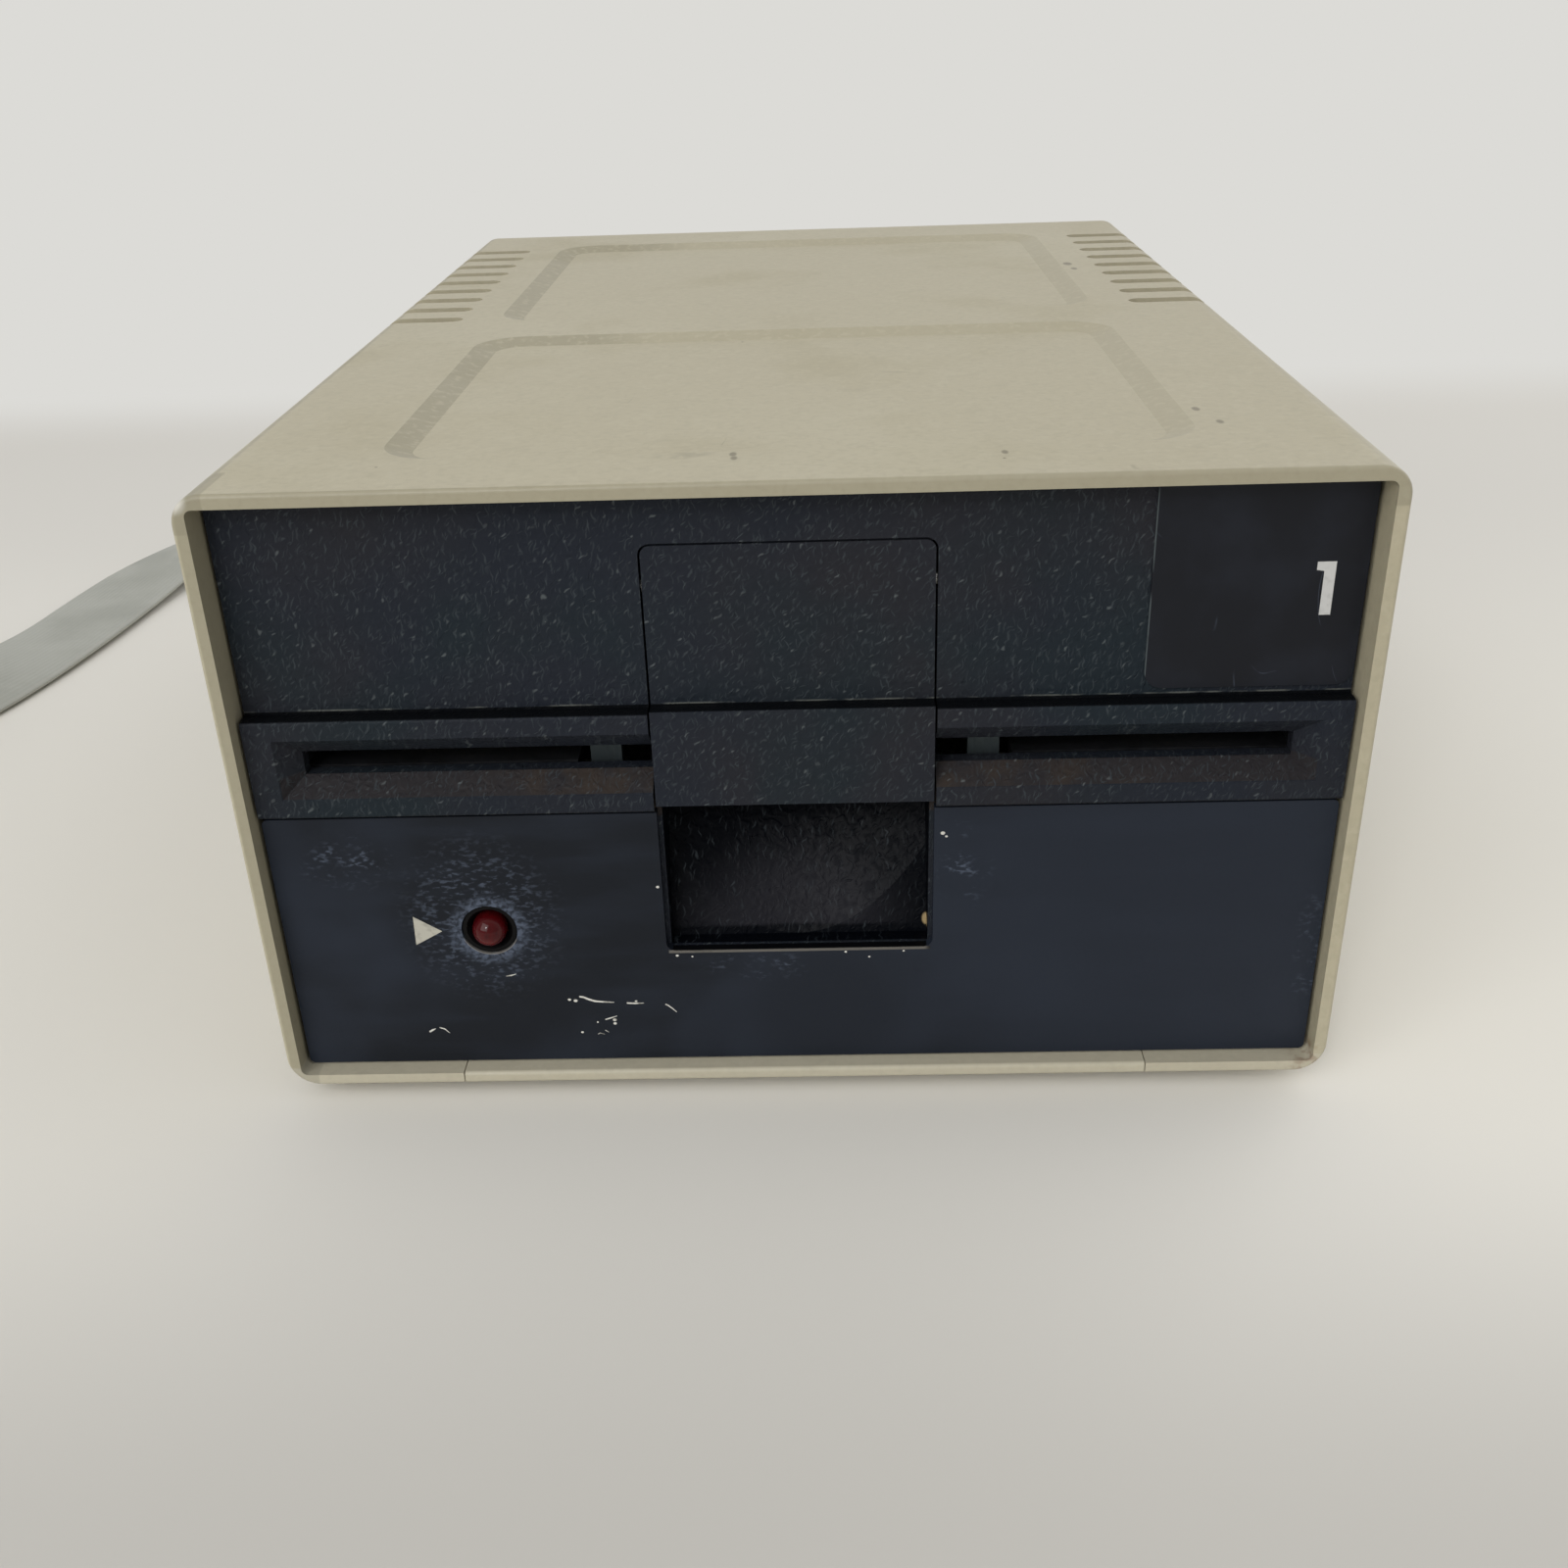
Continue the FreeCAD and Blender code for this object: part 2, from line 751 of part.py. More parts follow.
def frame_walls():
    """Side walls with windows, deck, front wall and the pads that stand on the lips of the case."""
    run = (frame_front, frame_rear)
    side = block((frame_inner, frame_half), run, (frame_bottom, frame_top))
    window_z = (frame_bottom + 6, deck_bottom - 8)
    for centre in (spindle_y - windows_ahead, spindle_y + windows_behind):
        window = block((frame_inner - 1, frame_half + 1), around(centre, window_half), window_z)
        side = side.cut(softened(window, window_corner, X))
    slope = side_prism([(frame_rear - 16, frame_top + 1), (frame_rear + 1, frame_top + 1),
                        (frame_rear + 1, frame_top - 16)], (frame_inner - 1, frame_half + 1))
    pieces = pair(side.cut(slope))
    pieces.append(block(around(0, frame_inner + 1), run, (deck_bottom, deck_top)))
    across = around(0, frame_inner + 1)
    pieces.append(block(across, (frame_front, frame_front + frame_wall), (frame_bottom, deck_top)))
    ribs_z = (deck_bottom - rib_depth, deck_top)
    for x in (-rib_half, rib_half):
        pieces.append(block(around(x, rib / 2), (frame_front, spindle_y + rib_behind + 8), ribs_z))
    for y in (spindle_y - rib_ahead, spindle_y + rib_behind):
        pieces.append(block(across, around(y, rib / 2), ribs_z))
    for x, y in frame_screw_places():
        inner = min(abs(x) - pad_half, frame_inner)
        pad = block((inner, frame_half), around(y, pad_half), (inner_floor, frame_bottom + 2.5))
        pad = softened(pad, 3, Z, lambda p: p.x < inner + 1)
        pieces.append(pad if x > 0 else mirrored(pad))
    return pieces


def board_gussets():
    pieces = []
    low = frame_top - 14
    for x, y in board_post_places():
        outline = [
            (frame_half, low),
            (frame_half, board_z),
            (board_hole_x - 4, board_z),
            (board_hole_x - 4, board_z - 5),
            (frame_inner, frame_top - 3),
            (frame_inner, low),
        ]
        gusset = front_prism(outline, around(y, 4))
        pieces.append(gusset if x > 0 else mirrored(gusset))
    return pieces


def drive_frame():
    pieces = frame_walls() + board_gussets()
    pieces.append(post(0, spindle_y, (boss_bottom, boss_top), boss_radius))
    rod_top = carriage_top
    for y in rod_supports():
        pieces += pair(block(around(rod_half, 4.5), y, (deck_bottom, rod_top)))
    bracket_x = (arm_half + 0.4, arm_half + 4.4)
    bracket = block(bracket_x, around(arm_pivot_y, 4), (deck_bottom, arm_pivot_z))
    knuckle = rod((bracket_x[0], arm_pivot_y, arm_pivot_z), X, 4.0, 4.0)
    pieces += pair(bracket) + pair(knuckle)
    pieces.append(post(arm_half - 2, arm_pivot_y + spring_behind, (deck_bottom, deck_top + 3.5), 2.0))
    for x, y in speed_post_places():
        pieces.append(post(x, y, (deck_bottom, speed_z), 2.6))
    body = joined(pieces[0], *pieces[1:])
    cutters = []
    notch = block(around(0, notch_half), (frame_front - 1, plate_back + recess_lean + dish_lean + 8),
                  (frame_bottom - 1, deck_top + 1))
    cutters.append(softened(notch, 3, Z, lambda p: p.y > frame_front))
    windows_z = (deck_bottom - 9, deck_top + 1)
    edge = frame_inner - deck_window_edge
    inner, start, stop = deck_window_ahead
    window = block((inner, edge), (frame_front + start, spindle_y - stop), windows_z)
    cutters += pair(softened(window, window_corner, Z))
    inner, start, stop = deck_window_behind
    window = block((inner, edge), (spindle_y + start, spindle_y + stop), windows_z)
    cutters += pair(softened(window, window_corner, Z))
    bearing_bore = bearing_radius + fit
    cutters.append(post(0, spindle_y, (boss_bottom - 1, boss_bottom + bearing_width + 0.2), bearing_bore))
    cutters.append(post(0, spindle_y, (boss_bottom, boss_top), bearing_radius - 1.5))
    cutters.append(post(0, spindle_y, (boss_top - bearing_width - 0.3, boss_top + 1), bearing_bore))
    first, last = rod_supports()[0][0] - 1, rod_supports()[1][1] + 1
    for side in (-1, 1):
        cutters.append(rod((side * rod_half, first, rod_z), Y, last - first, rod_radius + fit))
    cutters.append(rod((-frame_half, arm_pivot_y, arm_pivot_z), X, 2 * frame_half, arm_pin_radius + fit))
    cutters.append(post(0, cam_y, (deck_bottom - 1, deck_top + 1), 6.0))
    cutters.append(post(motor_x, motor_y, (deck_bottom - 1, deck_top + 1), 4.0))
    for x, y in stepper_screw_places() + motor_screw_places():
        cutters.append(post(x, y, (deck_bottom - 1, deck_top + 1), screw_radius + screw_hole))
    for x, y in frame_screw_places():
        cutters.append(post(x, y, (inner_floor - 1, frame_bottom + 3), screw_radius + fit))
    for x, z in bezel_screw_places():
        cutters.append(rod((x, frame_front - 1, z), Y, frame_wall + 2, screw_radius + screw_hole))
    for x, y in board_post_places():
        cutters.append(post(x, y, (board_z - 4.5, board_z + 1), screw_radius + fit))
    for x, y in speed_post_places():
        cutters.append(post(x, y, (deck_top - 1, speed_z + 1), 1.0))
    cutters.append(rod((lamp_x, frame_front - 1, lamp_z), Y, frame_wall + 2, lamp_hole + 2.5))
    for y in guide_screw_places():
        start = (-frame_half - 1, y, slot_bottom - 2.2)
        cutters.append(rod(start, X, case_width, screw_radius + screw_hole))
    return body.cut(cutters)


def rod_supports():
    ahead = carriage_front - head_travel
    return [(ahead - 5.0, ahead - 1.0), (carriage_rear + 2.0, carriage_rear + 8.0)]


def guide():
    """Right-hand channel for the edge of the diskette, with a curved shelf behind the slot."""
    run = (frame_front + 0.2, carriage_front + 12)
    shelf_top = slot_bottom - 0.2
    outline = [
        (frame_inner, shelf_top - 4),
        (frame_inner, slot_top + 2.2),
        (slot_half - 3, slot_top + 2.2),
        (slot_half - 3, slot_top + 0.7),
        (slot_half + 0.8, slot_top + 0.7),
        (slot_half + 0.8, shelf_top),
        (slot_half - 3, shelf_top),
        (slot_half - 3, shelf_top - 4),
    ]
    channel = front_prism(outline, run)
    ramp = [(run[0] - 1, slot_top + 0.7), (run[0] - 1, slot_top + 1.9), (run[0] + 7, slot_top + 0.7)]
    flare = side_prism(ramp, (slot_half - 4, slot_half + 0.8))
    shelf = block((guide_shelf_inner, slot_half - 2), (run[0], run[0] + 15), (shelf_top - 2, shelf_top))
    scallop = post(guide_shelf_inner, run[0] + 22, (shelf_top - 3, shelf_top + 1), guide_scallop)
    shelf = shelf.cut(scallop)
    cutters = [flare]
    for y in guide_screw_places():
        bore = frame_inner - slot_half + 5
        cutters.append(rod((slot_half - 4, y, slot_bottom - 2.2), X, bore, screw_radius + fit))
    return joined(channel, shelf).cut(cutters)


def guide_screws():
    screws = []
    for y in guide_screw_places():
        grip = frame_half - slot_half + 2
        screws += pair(screw((frame_half, y, slot_bottom - 2.2), X * -1, grip, head=frame_side_gap - 0.3))
    return Part.makeCompound(screws)


# ---------------------------------------------------------------- spindle and motor


def spindle_hub():
    outline = [
        (0, pulley_bottom - 0.5),
        (spindle_radius, pulley_bottom - 0.5),
        (spindle_radius, hub_bottom),
        (hub_radius, hub_bottom),
        (hub_radius, hub_face - 0.5),
        (hub_radius - 0.5, hub_face),
        (hub_recess_radius + 0.4, hub_face),
        (hub_recess_radius, hub_face - hub_recess),
        (0, hub_face - hub_recess),
    ]
    return turned(outline, 0, spindle_y)


def spindle_bearings():
    rings = []
    for low in (boss_bottom, boss_top - bearing_width - 0.3):
        outline = [
            (spindle_radius + running, low),
            (bearing_radius, low),
            (bearing_radius, low + bearing_width),
            (spindle_radius + running, low + bearing_width),
        ]
        rings.append(turned(outline, 0, spindle_y))
    return Part.makeCompound(rings)


def spindle_pulley():
    middle = (pulley_bottom + pulley_top) / 2
    bore = spindle_radius + fit
    outline = [
        (bore, pulley_bottom),
        (9, pulley_bottom),
        (9, middle - 1.2),
        (pulley_radius - 4, middle - 1.2),
        (pulley_radius - 4, pulley_bottom),
        (pulley_radius, pulley_bottom),
        (pulley_radius, pulley_top),
        (pulley_radius - 4, pulley_top),
        (pulley_radius - 4, middle + 1.2),
        (9, middle + 1.2),
        (9, pulley_top + 1),
        (bore, pulley_top + 1),
    ]
    wheel = turned(outline, 0, spindle_y)
    holes = []
    for index in range(5):
        angle = math.radians(90 + 72 * index)
        reach = (9 + pulley_radius - 4) / 2
        x = reach * math.cos(angle)
        y = spindle_y + reach * math.sin(angle)
        holes.append(post(x, y, (pulley_bottom - 1, pulley_top + 1), 5.0))
    return wheel.cut(holes)


def belt_face(offset, z):
    """Loop round both pulleys, this far outside them."""
    first = Vector(0, spindle_y, z)
    second = Vector(motor_x, motor_y, z)
    big = pulley_radius + offset
    small = motor_pulley_radius + offset
    line = second - first
    heading = math.atan2(line.y, line.x)
    spread = math.acos((big - small) / line.Length)

    def spot(centre, radius, angle):
        return centre + Vector(radius * math.cos(angle), radius * math.sin(angle), 0)

    left = [spot(first, big, heading + spread), spot(second, small, heading + spread)]
    right = [spot(first, big, heading - spread), spot(second, small, heading - spread)]
    edges = [Part.makeLine(left[0], left[1])]
    edges.append(Part.Arc(left[1], spot(second, small, heading), right[1]).toShape())
    edges.append(Part.makeLine(right[1], right[0]))
    edges.append(Part.Arc(right[0], spot(first, big, heading + math.pi), left[0]).toShape())
    return Part.Face(Part.Wire(edges))


def drive_belt():
    low = (pulley_bottom + pulley_top - belt_width) / 2
    outer = belt_face(belt_gap + belt_thickness, low).extrude(Z * belt_width)
    inner = belt_face(belt_gap, low).extrude(Z * belt_width)
    return outer.cut(inner)


def drive_motor():
    top = board_z - motor_headroom
    outline = [
        (motor_shaft_radius + running, deck_top),
        (motor_radius, deck_top),
        (motor_radius, top - 2),
        (motor_radius - 2, top),
        (8, top),
        (8, top + 1.2),
        (0, top + 1.2),
        (0, deck_top + 8),
        (motor_shaft_radius + running, deck_top + 8),
    ]
    body = turned(outline, motor_x, motor_y)
    holes = [post(x, y, (deck_top - 1, deck_top + 4), screw_radius + fit) for x, y in motor_screw_places()]
    return body.cut(holes)


def motor_screws():
    screws = [screw((x, y, deck_bottom), Z, deck + 3.5) for x, y in motor_screw_places()]
    return Part.makeCompound(screws)


def motor_shaft():
    return post(motor_x, motor_y, (pulley_bottom - 0.5, deck_top + 7.5), motor_shaft_radius)


def motor_pulley():
    flange = motor_pulley_radius + 1.4
    bore = motor_shaft_radius + fit
    outline = [
        (bore, pulley_bottom),
        (flange, pulley_bottom),
        (flange, pulley_bottom + 0.9),
        (motor_pulley_radius, pulley_bottom + 1.5),
        (motor_pulley_radius, pulley_top - 1.5),
        (flange, pulley_top - 0.9),
        (flange, pulley_top),
        (bore, pulley_top),
    ]
    return turned(outline, motor_x, motor_y)


# ---------------------------------------------------------------- clamp arm


def clamp_arm():
    """Tapered bars from the rear pin to the front tabs, with the bar that carries the cone."""
    y0 = arm_pivot_y
    z0 = arm_pivot_z
    front_low = media_z + 4.45
    outline = [
        (y0 + 5, z0 - 2),
        (y0 + 14, z0 - 2),
        (y0 + 14, z0 + 1),
        (y0, z0 + 4.5),
        (y0 - 44, z0 + 2),
        (spindle_y - 30, z0 - 3),
        (arm_front, front_low + 4),
        (arm_front, front_low),
        (spindle_y - 30, front_low),
        (y0 - 44, z0 - 6.5),
        (y0, z0 - 4.5),
    ]
    bar = side_prism(outline, (arm_half - arm_bar, arm_half))
    pieces = pair(bar)
    inner = arm_half - arm_bar + 0.5
    pieces.append(block(around(0, inner), around(spindle_y, 14), (front_low, front_low + 3.5)))
    pieces.append(block(around(0, inner), (arm_front, arm_front + 4), (front_low, front_low + 4)))
    pieces.append(block(around(0, inner), around(y0 - 7, 2), (z0 - 4, z0 - 1)))
    for y in (spindle_y - 12, spindle_y + 12):
        pieces.append(block(around(0, inner), around(y, 1), (front_low, front_low + 5.5)))
    tab = block((arm_tab_inner, arm_tab_outer), (arm_front, arm_front + arm_tab_thickness),
                (media_z - arm_tab_drop, front_low + 1))
    pieces += pair(tab)
    body = joined(pieces[0], *pieces[1:])
    cone_bore = post(0, spindle_y, (front_low - 1, front_low + 6), cone_pin_radius + running)
    pin_bore = rod((-arm_half - 1, y0, z0), X, 2 * arm_half + 2, arm_pin_radius + running)
    return body.cut([cone_bore, pin_bore])


def arm_pin():
    half = arm_half + 4.4
    return rod((-half, arm_pivot_y, arm_pivot_z), X, 2 * half, arm_pin_radius)


def clamp_spring():
    """Coil under the tail of the clamp arm, on its post."""
    low = deck_top + 3.8
    high = arm_pivot_z - 2.4
    wire = 0.45
    helix = Part.makeHelix(3.0, high - low - 2 * wire, 2.4)
    section = Part.Wire(Part.makeCircle(wire, Vector(2.4, 0, 0), Y))
    coil = Part.Wire(helix).makePipeShell([section], True, True)
    return coil.translated(Vector(arm_half - 2, arm_pivot_y + spring_behind, low + wire))


def clamp_cone():
    flange = hub_face + 0.6
    bar_low = media_z + 4.45
    bar_high = bar_low + 3.5
    pin = cone_pin_radius
    outline = [
        (0, hub_face - hub_recess + 0.4),
        (hub_recess_radius - 2.3, hub_face - hub_recess + 0.4),
        (hub_recess_radius - 0.7, flange),
        (hub_radius - 0.5, flange),
        (hub_radius - 0.5, flange + 1.8),
        (cone_shoulder, flange + 2.6),
        (cone_neck, bar_low - clearance),
        (pin, bar_low - clearance),
        (pin, bar_high + clearance),
        (pin - 0.6, bar_high + clearance),
        (pin - 0.6, bar_high + clearance + 1.0),
        (pin, bar_high + clearance + 1.0),
        (pin, bar_high + clearance + 1.8),
        (0, bar_high + clearance + 1.8),
    ]
    return turned(outline, 0, spindle_y)


def cone_retainer():
    low = media_z + 4.45 + 3.5 + clearance + 0.1
    inner = cone_pin_radius - 0.6 + fit
    ring = turned([(inner, low), (5.2, low), (5.2, low + 0.8), (inner, low + 0.8)], 0, spindle_y)
    return ring.cut(block((0, 7), around(spindle_y, 1.6), (low - 1, low + 2)))


# ---------------------------------------------------------------- head and cam


def guide_rods():
    ends = (rod_supports()[0][0] - 0.5, rod_supports()[1][1])
    rods = pair(rod((rod_half, ends[0], rod_z), Y, ends[1] - ends[0], rod_radius))
    return Part.makeCompound(rods)


def rod_clips():
    """Spring plates over the front ends of the rods."""
    y = rod_supports()[0]
    plate = block(around(rod_half, 4.0), (y[0] - 1.4, y[1]), (carriage_top, carriage_top + 0.8))
    lip = block(around(rod_half, 4.0), (y[0] - 1.4, y[0] - 0.6), (rod_z - 1, carriage_top + 0.8))
    return Part.makeCompound(pair(joined(plate, lip)))


def load_hinge():
    return carriage_rear - load_hinge_inset, carriage_top + load_hinge_rise


def head_carriage():
    run = (carriage_front, carriage_rear)
    boss = rod((rod_half, run[0], rod_z), Y, carriage_length, rod_radius + 1.7)
    web = block(around(0, rod_half), run, (rod_z - 1.5, carriage_top))
    pocket = block((8.5, rod_half - 5), (run[0] + 2.5, run[1] - 2.5), (rod_z + 0.5, carriage_top + 1))
    hinge_at, hinge_up = load_hinge()
    ear = block((6.0, 8.5), (hinge_at - 3.5, hinge_at + 3), (carriage_top - 0.5, hinge_up))
    knuckle = rod((6.0, hinge_at, hinge_up), X, 2.5, 3.0)
    tongue = block(around(0, 4.0), (run[1] - 1, follower_y + 2.2), (cam_top + 0.8, carriage_top))
    tongue = softened(tongue, 1.8, Z, lambda p: p.y > run[1])
    pieces = pair(boss) + pair(joined(ear, knuckle)) + [tongue]
    body = joined(web, *pieces)
    cutters = pair(softened(pocket, 2.0, Z))
    cutters += pair(rod((rod_half, run[0] - 1, rod_z), Y, carriage_length + 2, rod_radius + running))
    cutters.append(rod((-9, hinge_at, hinge_up), X, 18, 1.0 + fit))
    cutters.append(post(0, follower_y, (cam_top, carriage_top - 0.6), follower_radius + fit))
    return body.cut(cutters)


def rw_head():
    face = hub_face + 1.3
    body = block(around(0, 3.4), around(head_y, 3.0), (carriage_top, face - 0.8))
    button = Part.makeCone(2.8, 2.2, 0.8, Vector(0, head_y, face - 0.8))
    return joined(body, button)


def follower_pin():
    return post(0, follower_y, (cam_top - groove_depth + 0.4, carriage_top - 0.6), follower_radius)


def load_arm():
    """Lever that presses the pad down on the media over the head."""
    hinge_at, hinge_up = load_hinge()
    outline = [
        (hinge_at + 2.2, hinge_up - 1.6),
        (hinge_at + 2.2, hinge_up + 1.6),
        (hinge_at - 3, hinge_up + 2),
        (head_y - 4, hinge_up + 1),
        (head_y - 4, hinge_up - 0.7),
        (hinge_at - 3, hinge_up - 1.6),
    ]
    bar = side_prism(outline, around(0, 5.0))
    gap = block(around(0, 2.6), (head_y + 4, hinge_at - 3.5), (hinge_up - 9, hinge_up + 9))
    bore = rod((-6, hinge_at, hinge_up), X, 12, 1.0 + running)
    return bar.cut([softened(gap, 1.0, Z), bore])


def load_arm_pin():
    hinge_at, hinge_up = load_hinge()
    return rod((-8.5, hinge_at, hinge_up), X, 17, 1.0)


def pressure_pad():
    hinge_up = load_hinge()[1]
    low = hub_face + 1.7
    share = (head_y - load_hinge()[0] + 3) / (head_y - 4 - load_hinge()[0] + 3)
    underside = hinge_up - 1.6 + 0.9 * share
    pad = post(0, head_y, (low, underside + 1), 2.4)
    hinge_at = load_hinge()[0]
    above = side_prism([(hinge_at - 3, hinge_up - 1.6), (head_y - 4, hinge_up - 0.7),
                        (head_y - 4, hinge_up + 9), (hinge_at - 3, hinge_up + 9)], around(0, 6))
    return pad.cut(above)


def spiral_edge(offset):
    """Inner or outer edge of the groove as a smooth curve at mid-radius plus an offset."""
    lead = math.radians(14)
    steps = 44
    points = []
    for index in range(steps + 1):
        turn = -lead + (cam_turn + lead + math.radians(6)) * index / steps
        radius = groove_start + cam_rise * turn + offset
        angle = -math.pi / 2 - turn
        points.append(Vector(radius * math.cos(angle), cam_y + radius * math.sin(angle), cam_top + 1))
    curve = Part.BSplineCurve()
    curve.interpolate(points)
    return curve.toShape(), points[0], points[-1]


def cam_disc():
    """Disc with the spiral groove that turns steps of the motor into tracks of the head."""
    disc = post(0, cam_y, (cam_bottom, cam_top), cam_radius)
    collar = post(0, cam_y, (cam_bottom, cam_top + 3.5), 4.5)
    half = follower_radius + groove_gap
    inner, inner_start, inner_end = spiral_edge(-half)
    outer, outer_start, outer_end = spiral_edge(half)
    ends = [Part.makeLine(inner_end, outer_end), Part.makeLine(outer_start, inner_start)]
    face = Part.Face(Part.Wire(Part.__sortEdges__([inner, outer] + ends)))
    groove = face.extrude(Z * -(groove_depth + 1))
    bore = post(0, cam_y, (cam_bottom - 1, cam_top + 9), stepper_shaft_radius + fit)
    return joined(disc, collar).cut([groove, bore])


def stepper_shaft():
    return post(0, cam_y, (deck_bottom - 9, cam_top + 3), stepper_shaft_radius)


def stepper_motor():
    low = deck_bottom - stepper_height
    flange = block(around(0, stepper_radius), around(cam_y, stepper_radius), (deck_bottom - 2, deck_bottom))
    flange = softened(flange, 4, Z)
    can = post(0, cam_y, (low, deck_bottom - 1), stepper_radius - 0.5)
    groove = post(0, cam_y, (low + 9, low + 10), stepper_radius).cut(
        post(0, cam_y, (low + 8, low + 11), stepper_radius - 1.2))
    bore = post(0, cam_y, (deck_bottom - 9.5, deck_bottom + 1), stepper_shaft_radius + running)
    threads = (deck_bottom - 3.5, deck_bottom + 1)
    holes = [post(x, y, threads, screw_radius + fit) for x, y in stepper_screw_places()]
    return joined(flange, can).cut([groove, bore] + holes)


def stepper_screws():
    screws = [screw((x, y, deck_top), Z * -1, deck + 2, head=1.0) for x, y in stepper_screw_places()]
    return Part.makeCompound(screws)


# ---------------------------------------------------------------- boards and switches


def circuit_board():
    plate = block(around(0, board_half), board_y, (board_z, board_z + board))
    plate = softened(plate, 2.5, Z)
    through = (board_z - 1, board_z + board + 1)
    holes = [post(x, y, through, screw_radius + screw_hole) for x, y in board_post_places()]
    return plate.cut(holes)


def board_screws():
    top = board_z + board
    screws = [screw((x, y, top), Z * -1, board + 4) for x, y in board_post_places()]
    for x, y in speed_post_places():
        screws.append(screw((x, y, speed_z + board), Z * -1, board + 3, radius=1.0 - fit, head=1.2))
    return Part.makeCompound(screws)


def board_chips():
    """Two rows of dual in-line packages, each with a notch at one end."""
    top = board_z + board
    chips = []
    length, width, height = chip_size
    for row in chip_rows:
        for column in range(chip_columns):
            x = chip_pitch * (column - (chip_columns - 1) / 2)
            y = board_y[0] + row * (board_y[1] - board_y[0])
            body = block(around(x, length / 2), around(y, width / 2), (top, top + height))
            notch = post(x - length / 2, y, (top + height - 0.8, top + height + 1), 1.3)
            chips.append(body.cut(notch))
    return Part.makeCompound(chips)


def board_capacitors():
    top = board_z + board
    cans = []
    rim = top + capacitor_height
    for index in range(capacitor_count):
        x = capacitor_first + capacitor_pitch * index
        y = board_y[0] + capacitor_row * (board_y[1] - board_y[0])
        can = post(x, y, (top, rim), capacitor_radius)
        cans.append(can.makeFillet(0.6, [edge for edge in can.Edges if edge.CenterOfMass.z > rim - 0.4]))
    return Part.makeCompound(cans)


def header_height():
    return board_z + board + 3.4


def ribbon_header():
    """Shrouded pin header at the rear edge of the board."""
    z = header_height()
    y = (board_y[1] - 9.0, board_y[1])
    shroud = block(around(ribbon_x, 15.5), y, (board_z + board, z + 3.2))
    cavity = block(around(ribbon_x, 14.0), (y[0] + 1.5, y[1] + 1), around(z, 2.2))
    return shroud.cut(cavity)


def ribbon_socket():
    z = header_height()
    y = board_y[1]
    nose = block(around(ribbon_x, socket_half - 1.2), (y - 7.2, y + 2), around(z, 2.0))
    body = block(around(ribbon_x, socket_half), (y + clearance, y + 6), around(z, 3.0))
    return joined(nose, softened(body, 0.8, X))


def inner_ribbon():
    """Flat cable from the socket over the motor and down the rear wall to its slot."""
    z = header_height()
    down = rear - sheet - clearance - 3.7
    start = board_y[1] + 6
    big = 9.0
    small = 3.2
    half = ribbon_thickness / 2

    def outline(offset):
        out = big + offset
        turn = small - offset
        p = [Vector(0, start, z + offset), Vector(0, down - big, z + offset)]
        mid = out * math.sqrt(0.5)
        arc_mid = Vector(0, down - big + mid, z - big + mid)
        p.append(Vector(0, down + offset, z - big))
        p.append(Vector(0, down + offset, ribbon_z + small))
        low_mid = Vector(0, down + small - turn * math.sqrt(0.5), ribbon_z + small - turn * math.sqrt(0.5))
        p.append(Vector(0, down + small, ribbon_z + offset))
        p.append(Vector(0, rear, ribbon_z + offset))
        return p, arc_mid, low_mid

    upper, upper_arc, upper_low = outline(half)
    lower, lower_arc, lower_low = outline(-half)
    edges = []
    for points, arc, low in ((upper, upper_arc, upper_low), (lower, lower_arc, lower_low)):
        edges.append(Part.makeLine(points[0], points[1]))
        edges.append(Part.Arc(points[1], arc, points[2]).toShape())
        edges.append(Part.makeLine(points[2], points[3]))
        edges.append(Part.Arc(points[3], low, points[4]).toShape())
        edges.append(Part.makeLine(points[4], points[5]))
    edges.append(Part.makeLine(upper[0], lower[0]))
    edges.append(Part.makeLine(upper[-1], lower[-1]))
    strip = Part.Face(Part.Wire(Part.__sortEdges__(edges))).extrude(X * ribbon_width)
    return strip.translated(X * (ribbon_x - ribbon_width / 2))


def speed_board():
    x, y = speed_board_box()
    z = (speed_z, speed_z + board)
    plate = softened(block(x, y, z), 2, Z)
    return plate.cut([post(a, b, (z[0] - 1, z[1] + 1), 1.1) for a, b in speed_post_places()])


def speed_parts():
    """Trimmer, power transistor and two capacitors of the speed board."""
    x, y = speed_board_box()
    z = speed_z + board
    trimmer = block((x[0] + 3, x[0] + 10), (y[1] - 12, y[1] - 5), (z, z + 5))
    slot = block((x[0] + 4, x[0] + 9), around(y[1] - 8.5, 0.4), (z + 4.2, z + 6))
    case = block((x[0] + 13, x[0] + 23), around(y[0] + 12, 2.2), (z, z + 11))
    tag = block((x[0] + 13, x[0] + 23), (y[0] + 9.8, y[0] + 10.8), (z, z + 16))
    cans = [post(x[0] + 16 + 8 * index, y[0] + 21, (z, z + 9), 3.4) for index in range(2)]
    return Part.makeCompound([trimmer.cut(slot), joined(case, tag)] + cans)


def write_switch_place():
    return spindle_y - 24.0, slot_top + 2.2


def write_switch():
    """Switch on the left guide, with the stub that its lever turns on."""
    y, z = write_switch_place()
    x = (-frame_inner + 1.0, -frame_inner + 6.0)
    body = softened(block(x, around(y, 8), (z, z + 6)), 0.8, X)
    stub = rod((x[1] - 0.5, y + 6, z + 2.5), X, 3.6, 0.9)
    return joined(body, stub)


